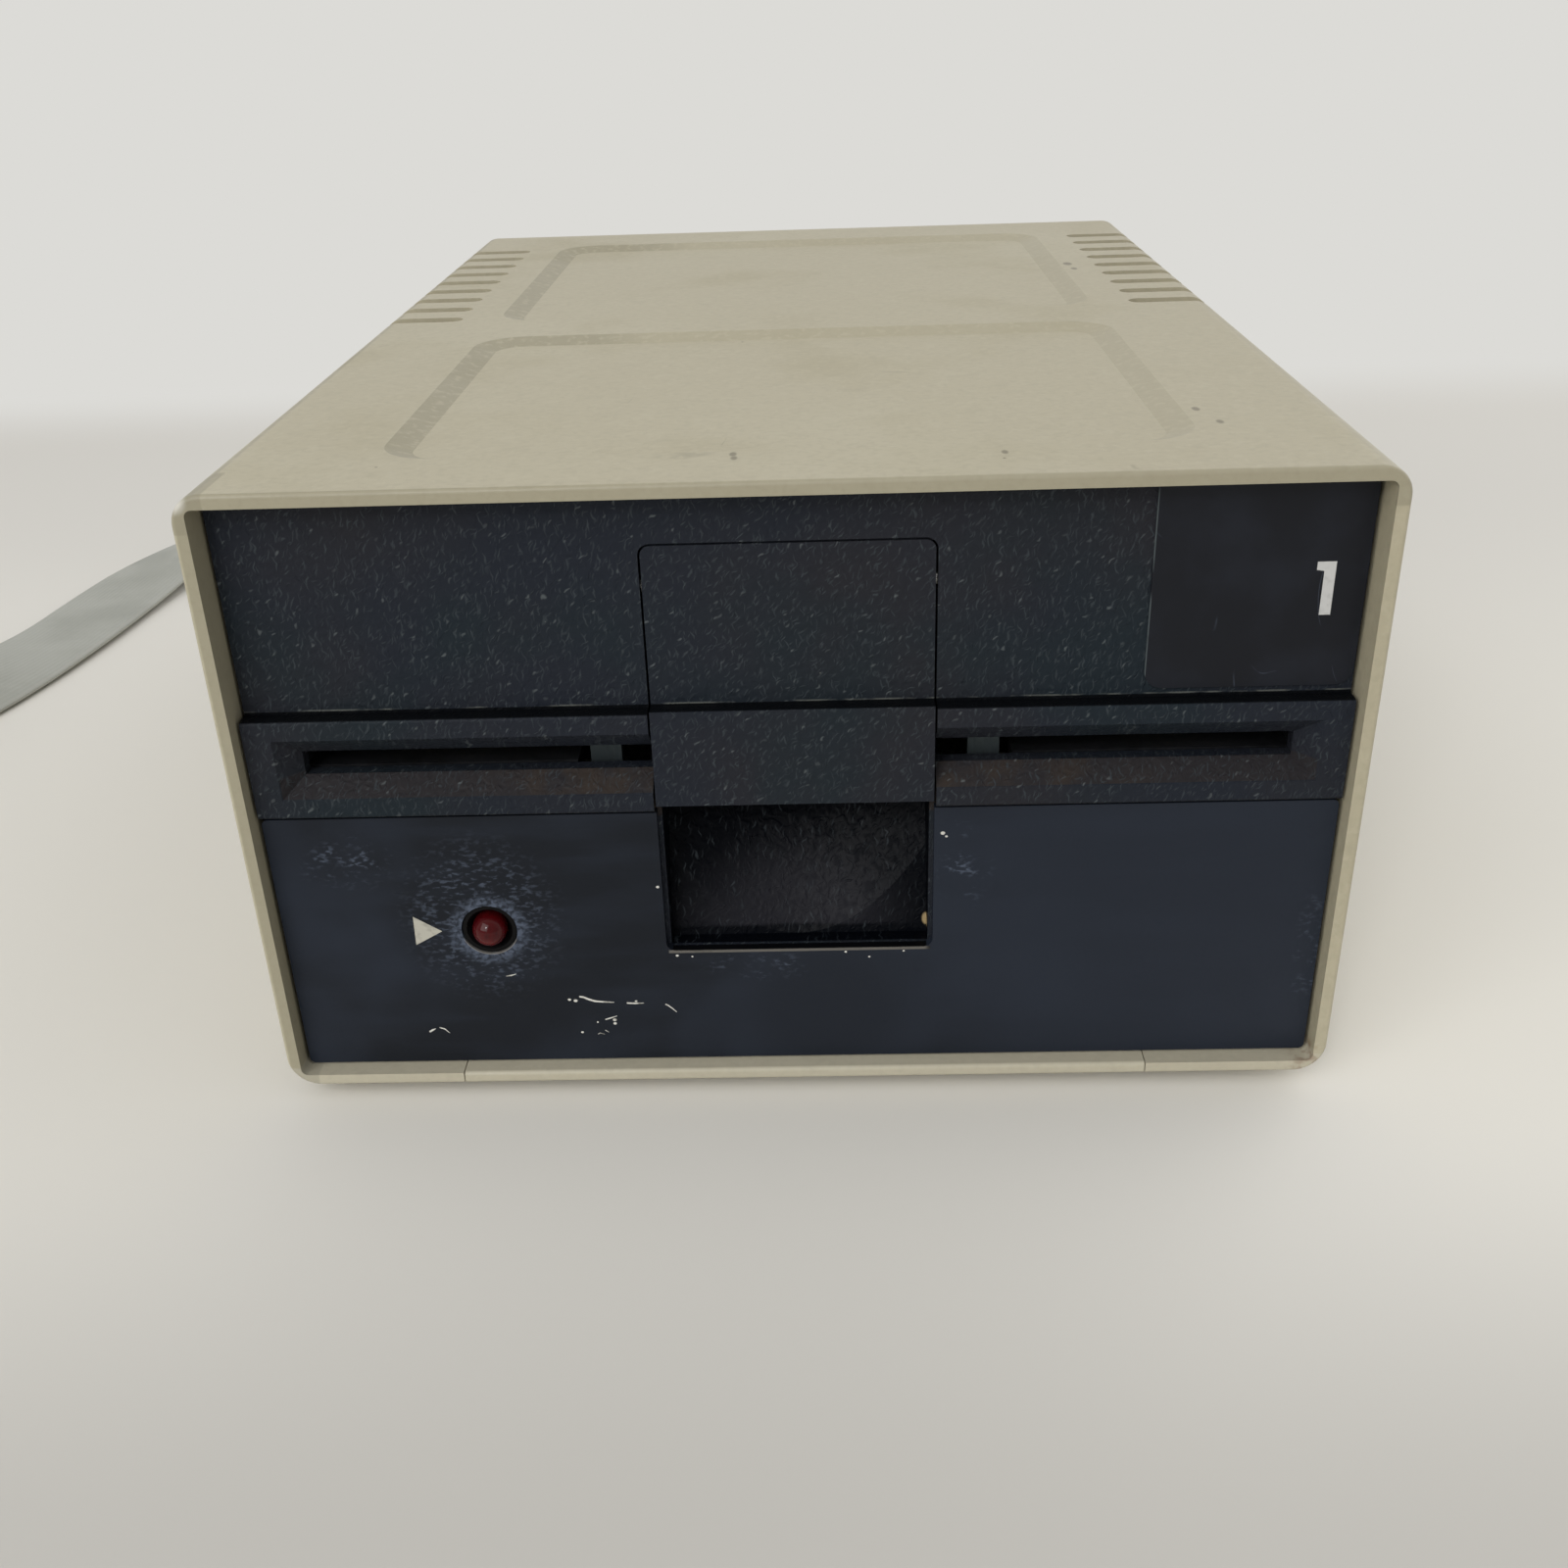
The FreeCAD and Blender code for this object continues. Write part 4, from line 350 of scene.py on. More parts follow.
# moulded ABS with a leather grain: charcoal, with short pale strokes of painted highlight on its ridges
leather = {
    # ridge and bright are painted highlights on the grain's ridges
    "base": "#23272f", "warm": "#2c2a2c", "cool": "#20292e", "ridge": "#3d4347", "bright": "#6a7071",
    "edge": "#7f8179", "dirt": "#41362b", "shade": "#05070d", "groove": "#0c0e11", "chip": "#a8946e",
    "lit": "#212126", "rough": (0.42, 0.58), "gloss": 0.08,
    "warmth": (45, 0.4, 0.7, 3), "coolness": (30, 0.45, 0.7, 3, 4), "dirtIn": (5, 0.35, 0.65, 4),
    "smears": (1.6, 0.45, 0.6, 4, 6, (0.35, 1, 1)), "highlightsIn": (9, 0.35, 0.6, 3, 15),
    "glossIn": (1.7, 0.5, 0.66, 2, 2), "pebble": (1.7, 0.3, 0.7, 1, 0, (1, 1, 1), 0.8),
    "lint": (7, 0.14, 0.12, 3),
    # strokes: spacing, length and width in mm, lean in degrees, share of the cells with one, and seed
    "broad": ((0.85, 1.1, 0.28, -38, 1.1, 0), (0.9, 1.3, 0.26, 12, 1.0, 3)),
    "fine": ((0.62, 0.9, 0.2, -48, 0.9, 5), (0.62, 0.8, 0.2, -15, 0.9, 7)),
    "steep": ((0.85, 1.6, 0.26, -14, 1.1, 11), (0.95, 1.8, 0.24, 10, 1.0, 13)),
    "pale": ((1.5, 0.8, 0.32, -45, 0.6, 9),),
    "plane": (0.6, 700.0, 0.0013),  # the pattern's lean with depth, and its bending noise's scale and reach
    "pebbleDeep": 0.07, "broadDeep": 0.05, "fineDeep": 0.03,
    "door": (0, -18.6, 18.6, 0.3),
    # recess, litSpot and litIn bound painted shade in the finger recess and a painted pool of light low in it
    "recess": ((1, -99.9, -70, 0.3), (2, 20, 50.0, 0.3), (0, -18.8, 18.8, 0.2)),
    "litSpot": ((-1.0, -95, 24.0), 4.0, 9.0, (0.62, 0.1, 0.88)), "litIn": (2, 25, 50, 0.6),
    "facet": ((1, -102.42, -99.5, 0.06), (2, 45, 52.2, 0.4)),  # the bar's slope under the slot
    "byDoor": (((-27, -101, 50), 5, 16), ((27, -101, 50), 5, 22)),
    # ledge bounds painted shade on the top of the slot bar
    "ledge": ((2, 60.6, 61.35, 0.08), (1, -102.3, -99.6, 0.2)),
    "scratch": ((2, 61.42, 61.56, 0.08), (1, -100.4, -96.5, 0.2)),
    "chipSpot": ((18.35, -96.9, 25.3), 0.5, 0.3, (1.1, 0.3, 0.75)),
}


def grainedAbs():
    material, tree, coords, shader = start("grainedAbs")
    plane = facePlane(tree, coords, *leather["plane"])
    broad, fine, steep, pale = (most(tree, *[strokes(tree, plane, *facts) for facts in leather[kind]])
                                for kind in ("broad", "fine", "steep", "pale"))
    door = zone(tree, coords, leather["door"])
    recess = zone(tree, coords, *leather["recess"])
    front = outside(tree, recess)
    facet = zone(tree, coords, *leather["facet"])
    byDoor = most(tree, *[spot(tree, coords, *facts) for facts in leather["byDoor"]])
    scratch = zone(tree, coords, *leather["scratch"])
    colour(tree, shader, leather["base"], [
        (leather["warm"], 0.6, cloud(tree, coords, *leather["warmth"])),
        (leather["cool"], 0.8, cloud(tree, coords, *leather["coolness"])),
        (leather["warm"], 1, facet),
        (leather["dirt"], 0.45, facet, byDoor, cloud(tree, coords, *leather["dirtIn"])),
        # painted shade over the finger recess, then a painted pool of light low in its middle
        (leather["shade"], 1, recess),
        (leather["lit"], 1, recess, spot(tree, coords, *leather["litSpot"]),
         zone(tree, coords, leather["litIn"])),
        # pale strokes of painted highlight on the grain's ridges, on the front and in the recess
        (leather["ridge"], 0.75, front, door, broad),
        (leather["ridge"], 0.75, front, outside(tree, door), steep),
        (leather["ridge"], 0.7, front, fine),
        (leather["bright"], 0.5, front, pale),
        (leather["ridge"], 0.7, recess, steep, cloud(tree, coords, *leather["highlightsIn"])),
        # painted shade on the top of the slot bar
        (leather["groove"], 1, zone(tree, coords, *leather["ledge"])),
        (leather["edge"], 0.45, scratch, cloud(tree, coords, *leather["smears"])),
        (leather["edge"], 0.5, specks(tree, coords, *leather["lint"])),
        (leather["chip"], 1, spot(tree, coords, *leather["chipSpot"])),
    ])
    sheen(tree, shader, cloud(tree, coords, *leather["glossIn"]), *leather["rough"])
    shader.inputs["Specular IOR Level"].default_value = leather["gloss"]
    relief(tree, shader, [(cloud(tree, coords, *leather["pebble"]), leather["pebbleDeep"]),
                          (broad, leather["broadDeep"]), (fine, leather["fineDeep"])])
    return material


# painted sheet front: smooth blue-black, rubbed to a bluish haze round the lamp and in patches
plate = {
    "base": "#171b22", "blue": "#252b36", "haze": "#646e80", "dust": "#c9c7be", "rim": "#8b8780",
    "shade": "#07080b", "rough": (0.38, 0.52), "gloss": 0.18, "deep": 0.004,
    "drift": (30, 0.4, 0.68, 3), "wipes": (16, 0.4, 0.7, 5, 9, (0.5, 1, 3)), "wide": (4.5, 0.42, 0.64, 4, 12),
    "glossIn": (0.75, 0.45, 0.66, 6, 1, (1, 1, 1), 0.5), "mist": (0.7, 0.36, 0.62, 6, 21),
    "dabs": (0.65, 0.5, 0.68, 5, 31, (0.6, 1, 1.2), 0.3), "rimBreaks": (4, 0.3, 0.5, 2, 5),
    "grain": (2.6, 0.2, 0.8, 3), "lint": (6, 0.13, 0.1, 4),
    "right": (0, 35, 90, 30), "middle": ((4, -102.1, 13), 6, 14),
    "halo": ((-44.15, -102.1, 27.55), 4.3, 1.9), "far": ((-45.0, -102.1, 29.5), 5.0, 8.5, (1, 1, 0.85)),
    "patches": (((-63, -102.1, 39.2), 0.8, 6, (0.8, 1, 1.2)), ((23.2, -102.1, 37.0), 0.8, 6, (1.4, 1, 0.8)),
                ((73.0, -102.1, 22.0), 0.6, 7, (2.2, 1, 0.6)), ((-6, -102.1, 20.8), 0.6, 7, (0.8, 1, 2.4))),
    # sill bounds painted shade on the up-facing sill of the recess's cut-out
    "sill": ((2, 23.15, 23.6, 0.05), (0, -18.6, 18.6, 0.2)), "face": (1, -102.3, -101.98, 0.06),
    # pale edge under the lamp: the hole, the ring round it, and how far up it goes
    "hole": ((-44.15, -102.1, 27.55), 3.9, 0.08), "ring": ((-44.15, -102.1, 27.55), 4.06, 0.1),
    "ringLow": (2, 20, 25.15, 1.4),
}


def rubbedSheet():
    material, tree, coords, shader = start("rubbedSheet")
    wide = cloud(tree, coords, *plate["wide"])
    dabs = cloud(tree, coords, *plate["dabs"])
    halo = spot(tree, coords, *plate["halo"])
    sill = zone(tree, coords, *plate["sill"])
    rim = allOf(tree, zone(tree, coords, plate["face"]), sill, cloud(tree, coords, *plate["rimBreaks"]))
    ring = allOf(tree, outside(tree, spot(tree, coords, *plate["hole"])), spot(tree, coords, *plate["ring"]),
                 zone(tree, coords, plate["ringLow"]))
    colour(tree, shader, plate["base"], [
        (plate["blue"], 1, cloud(tree, coords, *plate["drift"])),
        (plate["blue"], 0.5, cloud(tree, coords, *plate["wipes"])),
        (plate["blue"], 0.75, zone(tree, coords, plate["right"])),
        (plate["base"], 0.6, spot(tree, coords, *plate["middle"])),
        (plate["haze"], 0.6, halo, cloud(tree, coords, *plate["mist"])),
        (plate["haze"], 0.1, halo),
        (plate["haze"], 0.4, spot(tree, coords, *plate["far"]), dabs),
        *[(plate["haze"], 0.6, spot(tree, coords, *patch), dabs, wide) for patch in plate["patches"]],
        # painted shade on the cut-out's up-facing sill
        (plate["shade"], 1, sill),
        (plate["rim"], 0.5, rim),
        (plate["rim"], 0.7, ring),
        (plate["dust"], 0.55, specks(tree, coords, *plate["lint"])),
    ])
    sheen(tree, shader, cloud(tree, coords, *plate["glossIn"]), *plate["rough"])
    shader.inputs["Specular IOR Level"].default_value = plate["gloss"]
    relief(tree, shader, [(cloud(tree, coords, *plate["grain"]), plate["deep"])])
    return material


# printed film: black and nearly plain, with faint handling marks and a pale cut edge
film = {
    "base": "#17191f", "wear": "#1f222a", "edge": "#50585a", "haze": "#646e80", "dust": "#c9c7be",
    "rough": (0.38, 0.5), "gloss": 0.2, "marks": (12, 0.45, 0.7, 5, 2), "hairs": (18, 0.004, 8),
    "hairsIn": (6, 0.55, 0.7), "lint": (7, 0.14, 0.1, 6),
    "cut": (0, 46.3, 46.48, 0.08), "cutIn": (6, 0.35, 0.5),
}


def blackFilm():
    material, tree, coords, shader = start("blackFilm")
    marks = cloud(tree, coords, *film["marks"])
    hairs = creases(tree, coords, *film["hairs"])
    colour(tree, shader, film["base"], [
        (film["wear"], 0.8, marks),
        (film["haze"], 0.3, hairs, cloud(tree, coords, *film["hairsIn"])),
        (film["dust"], 0.4, specks(tree, coords, *film["lint"])),
        (film["edge"], 1, zone(tree, coords, film["cut"]), cloud(tree, coords, *film["cutIn"])),
    ])
    sheen(tree, shader, marks, *film["rough"])
    shader.inputs["Specular IOR Level"].default_value = film["gloss"]
    return material


# moulded acrylic lens: deep red and glossy, with a painted highlight that makes it a little paler in its
# middle
acrylic = {
    "base": "#47070b", "paintedHighlight": "#701418", "deep": "#2c0407", "rough": (0.08, 0.16), "gloss": 0.3,
    "middle": ((-44.5, -102.5, 26.4), 0.4, 1.9), "deepIn": (1.2, 0.45, 0.7, 3), "glossIn": (0.8, 0.4, 0.7, 3),
    "flow": (1.2, 0.2, 0.8, 1), "flowDeep": 0.012,
}


def redAcrylic():
    material, tree, coords, shader = start("redAcrylic")
    colour(tree, shader, acrylic["base"], [
        # painted highlight: paler in the lens's middle
        (acrylic["paintedHighlight"], 0.9, spot(tree, coords, *acrylic["middle"])),
        (acrylic["deep"], 0.5, cloud(tree, coords, *acrylic["deepIn"])),
    ])
    sheen(tree, shader, cloud(tree, coords, *acrylic["glossIn"]), *acrylic["rough"])
    shader.inputs["Specular IOR Level"].default_value = acrylic["gloss"]
    relief(tree, shader, [(cloud(tree, coords, *acrylic["flow"]), acrylic["flowDeep"])])
    return material


# extruded PVC flat cable: cool light grey, a little soiled
pvc = {
    "base": "#a9aaa2", "dim": "#999a92", "pale": "#b1b2aa", "rough": (0.4, 0.55),
    "soil": (22, 0.42, 0.72, 4), "bloom": (9, 0.5, 0.75, 3, 5), "skin": (0.8, 0.2, 0.8, 2), "skinDeep": 0.01,
}


def ribbonPvc():
    material, tree, coords, shader = start("ribbonPvc")
    soil = cloud(tree, coords, *pvc["soil"])
    colour(tree, shader, pvc["base"], [
        (pvc["dim"], 0.55, soil),
        (pvc["pale"], 0.4, cloud(tree, coords, *pvc["bloom"])),
    ])
    sheen(tree, shader, soil, *pvc["rough"])
    relief(tree, shader, [(cloud(tree, coords, *pvc["skin"]), pvc["skinDeep"])])
    return material


# glass-fibre board under green lacquer, with paler copper tracks beneath it; sizes are in metres
lacquer = {
    "base": "#1d5230", "track": "#2f6d3f", "deep": "#174427", "rough": (0.22, 0.36),
    "pitch": 0.00254, "wide": 0.0004, "long": 0.016, "trackDeep": 0.03,
    "tracksIn": (12, 0.42, 0.5, 1), "deepIn": (20, 0.5, 0.8), "glossIn": (5, 0.4, 0.7),
}


def greenBoard():
    material, tree, coords, shader = start("greenBoard")
    black, white = (0, 0, 0, 1), (1, 1, 1, 1)
    tracks = addNode(tree, "ShaderNodeTexBrick", {
        "Scale": 1.0, "Mortar Size": lacquer["wide"], "Brick Width": lacquer["long"],
        "Row Height": lacquer["pitch"], "Color1": black, "Color2": black, "Mortar": white}, {0: coords})
    line = allOf(tree, tracks.outputs["Fac"], cloud(tree, coords, *lacquer["tracksIn"]))
    colour(tree, shader, lacquer["base"], [
        (lacquer["track"], 1, line),
        (lacquer["deep"], 1, cloud(tree, coords, *lacquer["deepIn"])),
    ])
    sheen(tree, shader, cloud(tree, coords, *lacquer["glossIn"]), *lacquer["rough"])
    relief(tree, shader, [(line, lacquer["trackDeep"])])
    return material


coat(enamelOnSteel(), "case_shell base_pan")
coat(grainedAbs(), "front_bezel door")
coat(rubbedSheet(), "front_plate")
coat(blackFilm(), "drive_label")
coat(redAcrylic(), "lamp_lens")
coat(ribbonPvc(), "inner_ribbon ribbon_cable ribbon_coil")
coat(greenBoard(), "circuit_board speed_board")

# the other finishes: two colours, roughness, how much metal shows, the size of the grain in mm, how it is
# drawn out along an axis, and how deep it is in mm
plain = {
    # as cast and unpainted: dull grey with a sandy skin
    "castAluminium": {
        "colours": ("#8f9093", "#77787b"), "rough": (0.5, 0.68), "metal": 1.0,
        "grain": 0.9, "depth": 0.04, "nodes": "drive_frame head_carriage"},
    # steel bar with a dark chromate: greenish grey, streaked
    "chromatedZinc": {
        "colours": ("#4c5557", "#363e42"), "rough": (0.4, 0.58), "metal": 0.6,
        "grain": 3.0, "stretch": (2.4, 1, 0.3), "depth": 0.01, "nodes": "clamp_arm"},
    # bright zinc on pressed and turned steel: warm and a little cloudy
    "zincPlatedSteel": {
        "colours": ("#b2afa4", "#96938a"), "rough": (0.28, 0.45), "metal": 1.0,
        "grain": 2.2, "depth": 0.008,
        "nodes": "case_screws frame_screws bezel_screws guide_screws motor_screws stepper_screws "
                 "board_screws rod_clips cone_retainer clamp_spring"},
    # ground rod: bright, with fine marks round it
    "groundSteel": {
        "colours": ("#b6b6b4", "#9b9b9a"), "rough": (0.16, 0.3), "metal": 1.0,
        "grain": 1.2, "stretch": (1, 0.08, 1), "depth": 0.003,
        "nodes": "door_pin arm_pin guide_rods follower_pin load_arm_pin motor_shaft stepper_shaft"},
    # turned steel: bright, with rings from the tool
    "turnedSteel": {
        "colours": ("#bdbcb9", "#a3a2a0"), "rough": (0.2, 0.34), "metal": 1.0,
        "grain": 0.7, "stretch": (1, 1, 6), "depth": 0.004, "nodes": "spindle_hub spindle_bearings"},
    # turned aluminium: paler, with rings from the tool
    "turnedAluminium": {
        "colours": ("#c2c3c4", "#a7a8aa"), "rough": (0.24, 0.4), "metal": 1.0,
        "grain": 0.7, "stretch": (1, 1, 6), "depth": 0.005, "nodes": "spindle_pulley motor_pulley"},
    # drawn and plated can: warm grey, with upright draw marks
    "platedMotorShell": {
        "colours": ("#a7a59a", "#8b8a80"), "rough": (0.3, 0.48), "metal": 1.0,
        "grain": 2.4, "stretch": (1, 1, 0.2), "depth": 0.008, "nodes": "drive_motor stepper_motor"},
    # moulded rubber: dull and dusty
    "dullRubber": {
        "colours": ("#2c2a29", "#3a3735"), "rough": (0.7, 0.85), "metal": 0.0,
        "grain": 1.4, "depth": 0.03, "nodes": "rubber_feet cable_grommet"},
    # ground belt: near black, with fine lines along it
    "beltRubber": {
        "colours": ("#1b1a1a", "#262525"), "rough": (0.6, 0.75), "metal": 0.0,
        "grain": 0.6, "stretch": (1, 1, 5), "depth": 0.02, "nodes": "drive_belt"},
    # moulded bush: black and matt
    "blackBush": {
        "colours": ("#060607", "#0b0b0c"), "rough": (0.5, 0.65), "metal": 0.0,
        "grain": 1.2, "depth": 0.006, "nodes": "lamp_bush", "gloss": 0.15},
    # moulded acetal: black with a soft shine
    "mouldedAcetal": {
        "colours": ("#17181a", "#232427"), "rough": (0.38, 0.52), "metal": 0.0,
        "grain": 2.0, "depth": 0.01,
        "nodes": "guide_left guide_right load_arm write_lever"},
    # moulded nylon, undyed: ivory, darker where oil has got to it
    "ivoryNylon": {
        "colours": ("#d8d2be", "#c3bca5"), "rough": (0.36, 0.5), "metal": 0.0,
        "grain": 5.0, "depth": 0.01, "nodes": "clamp_cone cam_disc"},
    # polished ceramic: pale and glossy
    "polishedCeramic": {
        "colours": ("#c7bfae", "#b1a995"), "rough": (0.1, 0.2), "metal": 0.0,
        "grain": 1.0, "depth": 0.002, "nodes": "rw_head"},
    # pressed felt: off-white, with no shine
    "pressedFelt": {
        "colours": ("#cfc9b8", "#b5ae9b"), "rough": (0.85, 0.95), "metal": 0.0,
        "grain": 0.35, "depth": 0.08, "nodes": "pressure_pad"},
    # moulded epoxy of chips, switches and sockets: black, faintly sandy
    "epoxyPackage": {
        "colours": ("#1c1c1e", "#2a2a2c"), "rough": (0.45, 0.6), "metal": 0.0,
        "grain": 0.5, "depth": 0.01,
        "nodes": "board_chips write_switch track_switch ribbon_header ribbon_socket cable_connector"},
    # shrunk-on sleeve: blue and glossy
    "lacqueredSleeve": {
        "colours": ("#2d4a77", "#223a60"), "rough": (0.2, 0.35), "metal": 0.0,
        "grain": 2.0, "depth": 0.005, "nodes": "board_capacitors speed_parts"},
    # moulded nylon tie: black
    "blackNylon": {
        "colours": ("#1a1a1a", "#262626"), "rough": (0.4, 0.55), "metal": 0.0,
        "grain": 1.0, "depth": 0.01, "nodes": "ribbon_tie"},
}


grainNoise = {"fine": (0.35, 0.68, 4), "wide": (0.4, 0.7, 3, 4), "wider": 9}


def plainFinish(name, facts):
    material, tree, coords, shader = start(name)
    base, other = facts["colours"]
    grain = cloud(tree, coords, facts["grain"], *grainNoise["fine"], stretch=facts.get("stretch", (1, 1, 1)))
    wide = cloud(tree, coords, facts["grain"] * grainNoise["wider"], *grainNoise["wide"])
    colour(tree, shader, base, [(other, 1, wide), (other, 0.5, grain)])
    sheen(tree, shader, grain, *facts["rough"])
    relief(tree, shader, [(grain, facts["depth"])])
    shader.inputs["Metallic"].default_value = facts["metal"]
    shader.inputs["Specular IOR Level"].default_value = facts.get("gloss", 0.5)
    return material


for name, facts in plain.items():
    coat(plainFinish(name, facts), facts["nodes"])

# off-white marks, a little worn: silk-screen ink, and old paint rubbed off on the plate
inks = {
    "screenInk": {"pale": "#c9c9c7", "dim": "#bcbcba", "rough": (0.45, 0.6)},
    "pointerInk": {"pale": "#bab7aa", "dim": "#a5a296", "rough": (0.4, 0.55)},
    "rubbedOffPaint": {"pale": "#d9d7cf", "dim": "#98958c", "rough": (0.5, 0.7)},
}
inkWear = (0.9, 0.45, 0.7, 3)


def markInk(name, facts):
    material, tree, coords, shader = start(name)
    worn = cloud(tree, coords, *inkWear)
    colour(tree, shader, facts["pale"], [(facts["dim"], 1, worn)])
    sheen(tree, shader, worn, *facts["rough"])
    return material


for name, facts in inks.items():
    materials[name] = markInk(name, facts)
print("materials:", len(materials), "nodes without one:", [name for name in nodes if name not in coated])


# flat ribbon cable: the route's points and banks, then the turns of its put-away length; metres and degrees
cable = {
    "width": 0.0254, "thickness": 0.0008, "conductors": 20, "ridge": 0.00012, "perRidge": 8, "steps": 8,
    "route": (
        ((-0.040, 0.1048, 0.0140), 0), ((-0.041, 0.124, 0.0130), 0), ((-0.046, 0.146, 0.0130), 35),
        ((-0.061, 0.168, 0.0134), 70), ((-0.088, 0.185, 0.0136), 84), ((-0.120, 0.188, 0.0136), 84),
        ((-0.150, 0.179, 0.0124), 58), ((-0.173, 0.157, 0.0078), 26), ((-0.184, 0.131, 0.0026), 4),
        ((-0.188, 0.106, 0.0016), 0), ((-0.1905, 0.082, 0.0016), 0), ((-0.1945, 0.058, 0.0026), -6),
        ((-0.1995, 0.034, 0.0070), -28), ((-0.2055, 0.010, 0.0120), -60), ((-0.2096, -0.008, 0.0138), -84),
        ((-0.2111, -0.021, 0.0140), -90),
    ),
    "coilAt": (-0.262, -0.030), "coilZ": 0.0140, "outer": 0.0494, "inner": 0.0228, "turned": 941.4,
    "perTurn": 16, "onEdge": -90,
    "lastArc": 0.010, "lastSteps": 5, "lastStep": 27, "lastRise": 0.0014, "socketAhead": 0.0061,
}


def ribbonPoints():
    x, y = cable["coilAt"]
    points = list(cable["route"])
    turned = math.radians(cable["turned"])
    count = round(cable["turned"] / 360 * cable["perTurn"])
    for step in range(1, count + 1):  # clockwise and inwards
        angle = -turned * step / count
        radius = cable["outer"] + (cable["inner"] - cable["outer"]) * step / count
        place = (x + radius * math.cos(angle), y + radius * math.sin(angle), cable["coilZ"])
        points.append((place, cable["onEdge"]))
    heading = -turned - math.pi / 2
    arc, rise = cable["lastArc"], cable["lastRise"]
    centre = Vector(points[-1][0][:2]) + arc * Vector((math.sin(heading), -math.cos(heading)))
    for step in range(1, cable["lastSteps"] + 1):  # a tight bend to the right, up to the socket in the middle
        angle = heading + math.pi / 2 - math.radians(cable["lastStep"]) * step
        height = cable["coilZ"] + rise * step / cable["lastSteps"]
        place = (centre.x + arc * math.cos(angle), centre.y + arc * math.sin(angle), height)
        points.append((place, cable["onEdge"]))
    points.append(((x, y + cable["socketAhead"], cable["coilZ"] + rise), cable["onEdge"]))
    return points


def ribbonTree(material):  # sweeps a ridged section along the route
    tree = bpy.data.node_groups.new("ribbonSweep", "GeometryNodeTree")
    tree.interface.new_socket("Geometry", in_out="INPUT", socket_type="NodeSocketGeometry")
    for name in ("Width", "Thickness", "Pitch", "Ridge"):
        tree.interface.new_socket(name, in_out="INPUT", socket_type="NodeSocketFloat")
    tree.interface.new_socket("Geometry", in_out="OUTPUT", socket_type="NodeSocketGeometry")
    given = addNode(tree, "NodeGroupInput").outputs
    section = addNode(tree, "GeometryNodeCurvePrimitiveQuadrilateral", {"mode": "RECTANGLE"},
                      {"Width": given["Width"], "Height": given["Thickness"]})
    count = cable["perRidge"] * (cable["conductors"] + 1)
    dense = addNode(tree, "GeometryNodeResampleCurve", {"Count": count}, {0: section.outputs[0]})
    position = addNode(tree, "GeometryNodeInputPosition").outputs[0]
    across = addNode(tree, "ShaderNodeSeparateXYZ", links={0: position})
    share = addNode(tree, "ShaderNodeMath", {"operation": "DIVIDE"},
                    {0: across.outputs[0], 1: given["Pitch"]})
    angle = addNode(tree, "ShaderNodeMath", {"operation": "MULTIPLY", 1: math.pi}, {0: share.outputs[0]})
    wave = addNode(tree, "ShaderNodeMath", {"operation": "SINE"}, {0: angle.outputs[0]})
    bulge = addNode(tree, "ShaderNodeMath", {"operation": "ABSOLUTE"}, {0: wave.outputs[0]})
    side = addNode(tree, "ShaderNodeMath", {"operation": "SIGN"}, {0: across.outputs[1]})
    lift = addNode(tree, "ShaderNodeMath", {"operation": "MULTIPLY"},
                   {0: bulge.outputs[0], 1: side.outputs[0]})
    height = addNode(tree, "ShaderNodeMath", {"operation": "MULTIPLY"},
                     {0: lift.outputs[0], 1: given["Ridge"]})
    offset = addNode(tree, "ShaderNodeCombineXYZ", links={1: height.outputs[0]})
    ridged = addNode(tree, "GeometryNodeSetPosition",
                     links={0: dense.outputs[0], "Offset": offset.outputs[0]})
    swept = addNode(tree, "GeometryNodeCurveToMesh", {"Fill Caps": True},
                    {"Curve": given["Geometry"], "Profile Curve": ridged.outputs[0]})
    real = addNode(tree, "GeometryNodeRealizeInstances", links={0: swept.outputs[0]})
    done = addNode(tree, "GeometryNodeSetMaterial", {"Material": material}, {0: real.outputs[0]})
    addNode(tree, "NodeGroupOutput", links={0: done.outputs[0]})
    return tree


def makeRibbon():
    points = ribbonPoints()
    curve = bpy.data.curves.new("ribbonRoute", "CURVE")
    curve.dimensions, curve.twist_mode, curve.resolution_u = "3D", "Z_UP", cable["steps"]
    spline = curve.splines.new("NURBS")
    spline.points.add(len(points) - 1)
    for point, (place, bank) in zip(spline.points, points):
        point.co = (*place, 1)
        point.tilt = math.radians(bank)
    spline.order_u = 3
    spline.use_endpoint_u = True
    spline.resolution_u = cable["steps"]
    route = addPiece("ribbonRoute", curve)
    line = evaluatedMesh(route, "ribbonLine")
    tree = ribbonTree(materials["ribbonPvc"])
    sweep = route.modifiers.new("sweep", "NODES")
    sweep.node_group = tree
    wanted = {"Width": cable["width"], "Thickness": cable["thickness"],
              "Pitch": cable["width"] / cable["conductors"], "Ridge": cable["ridge"]}
    for item in tree.interface.items_tree:
        if item.name in wanted:
            sweep[item.identifier] = wanted[item.name]
    mesh = evaluatedMesh(route, "ribbon")
    bpy.data.objects.remove(route)
    piece = addPiece("ribbon", mesh)
    dress(piece, "drive", materials["ribbonPvc"], smooth=True)
    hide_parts("ribbon_cable", "ribbon_coil")


makeRibbon()


def makeSpring():
    piece = addPiece("pressedSpring", nodes["clamp_spring"].data.copy())
    dress(piece, "drive", materials["zincPlatedSteel"], smooth=True)
    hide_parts("clamp_spring")
    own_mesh(piece)


makeSpring()


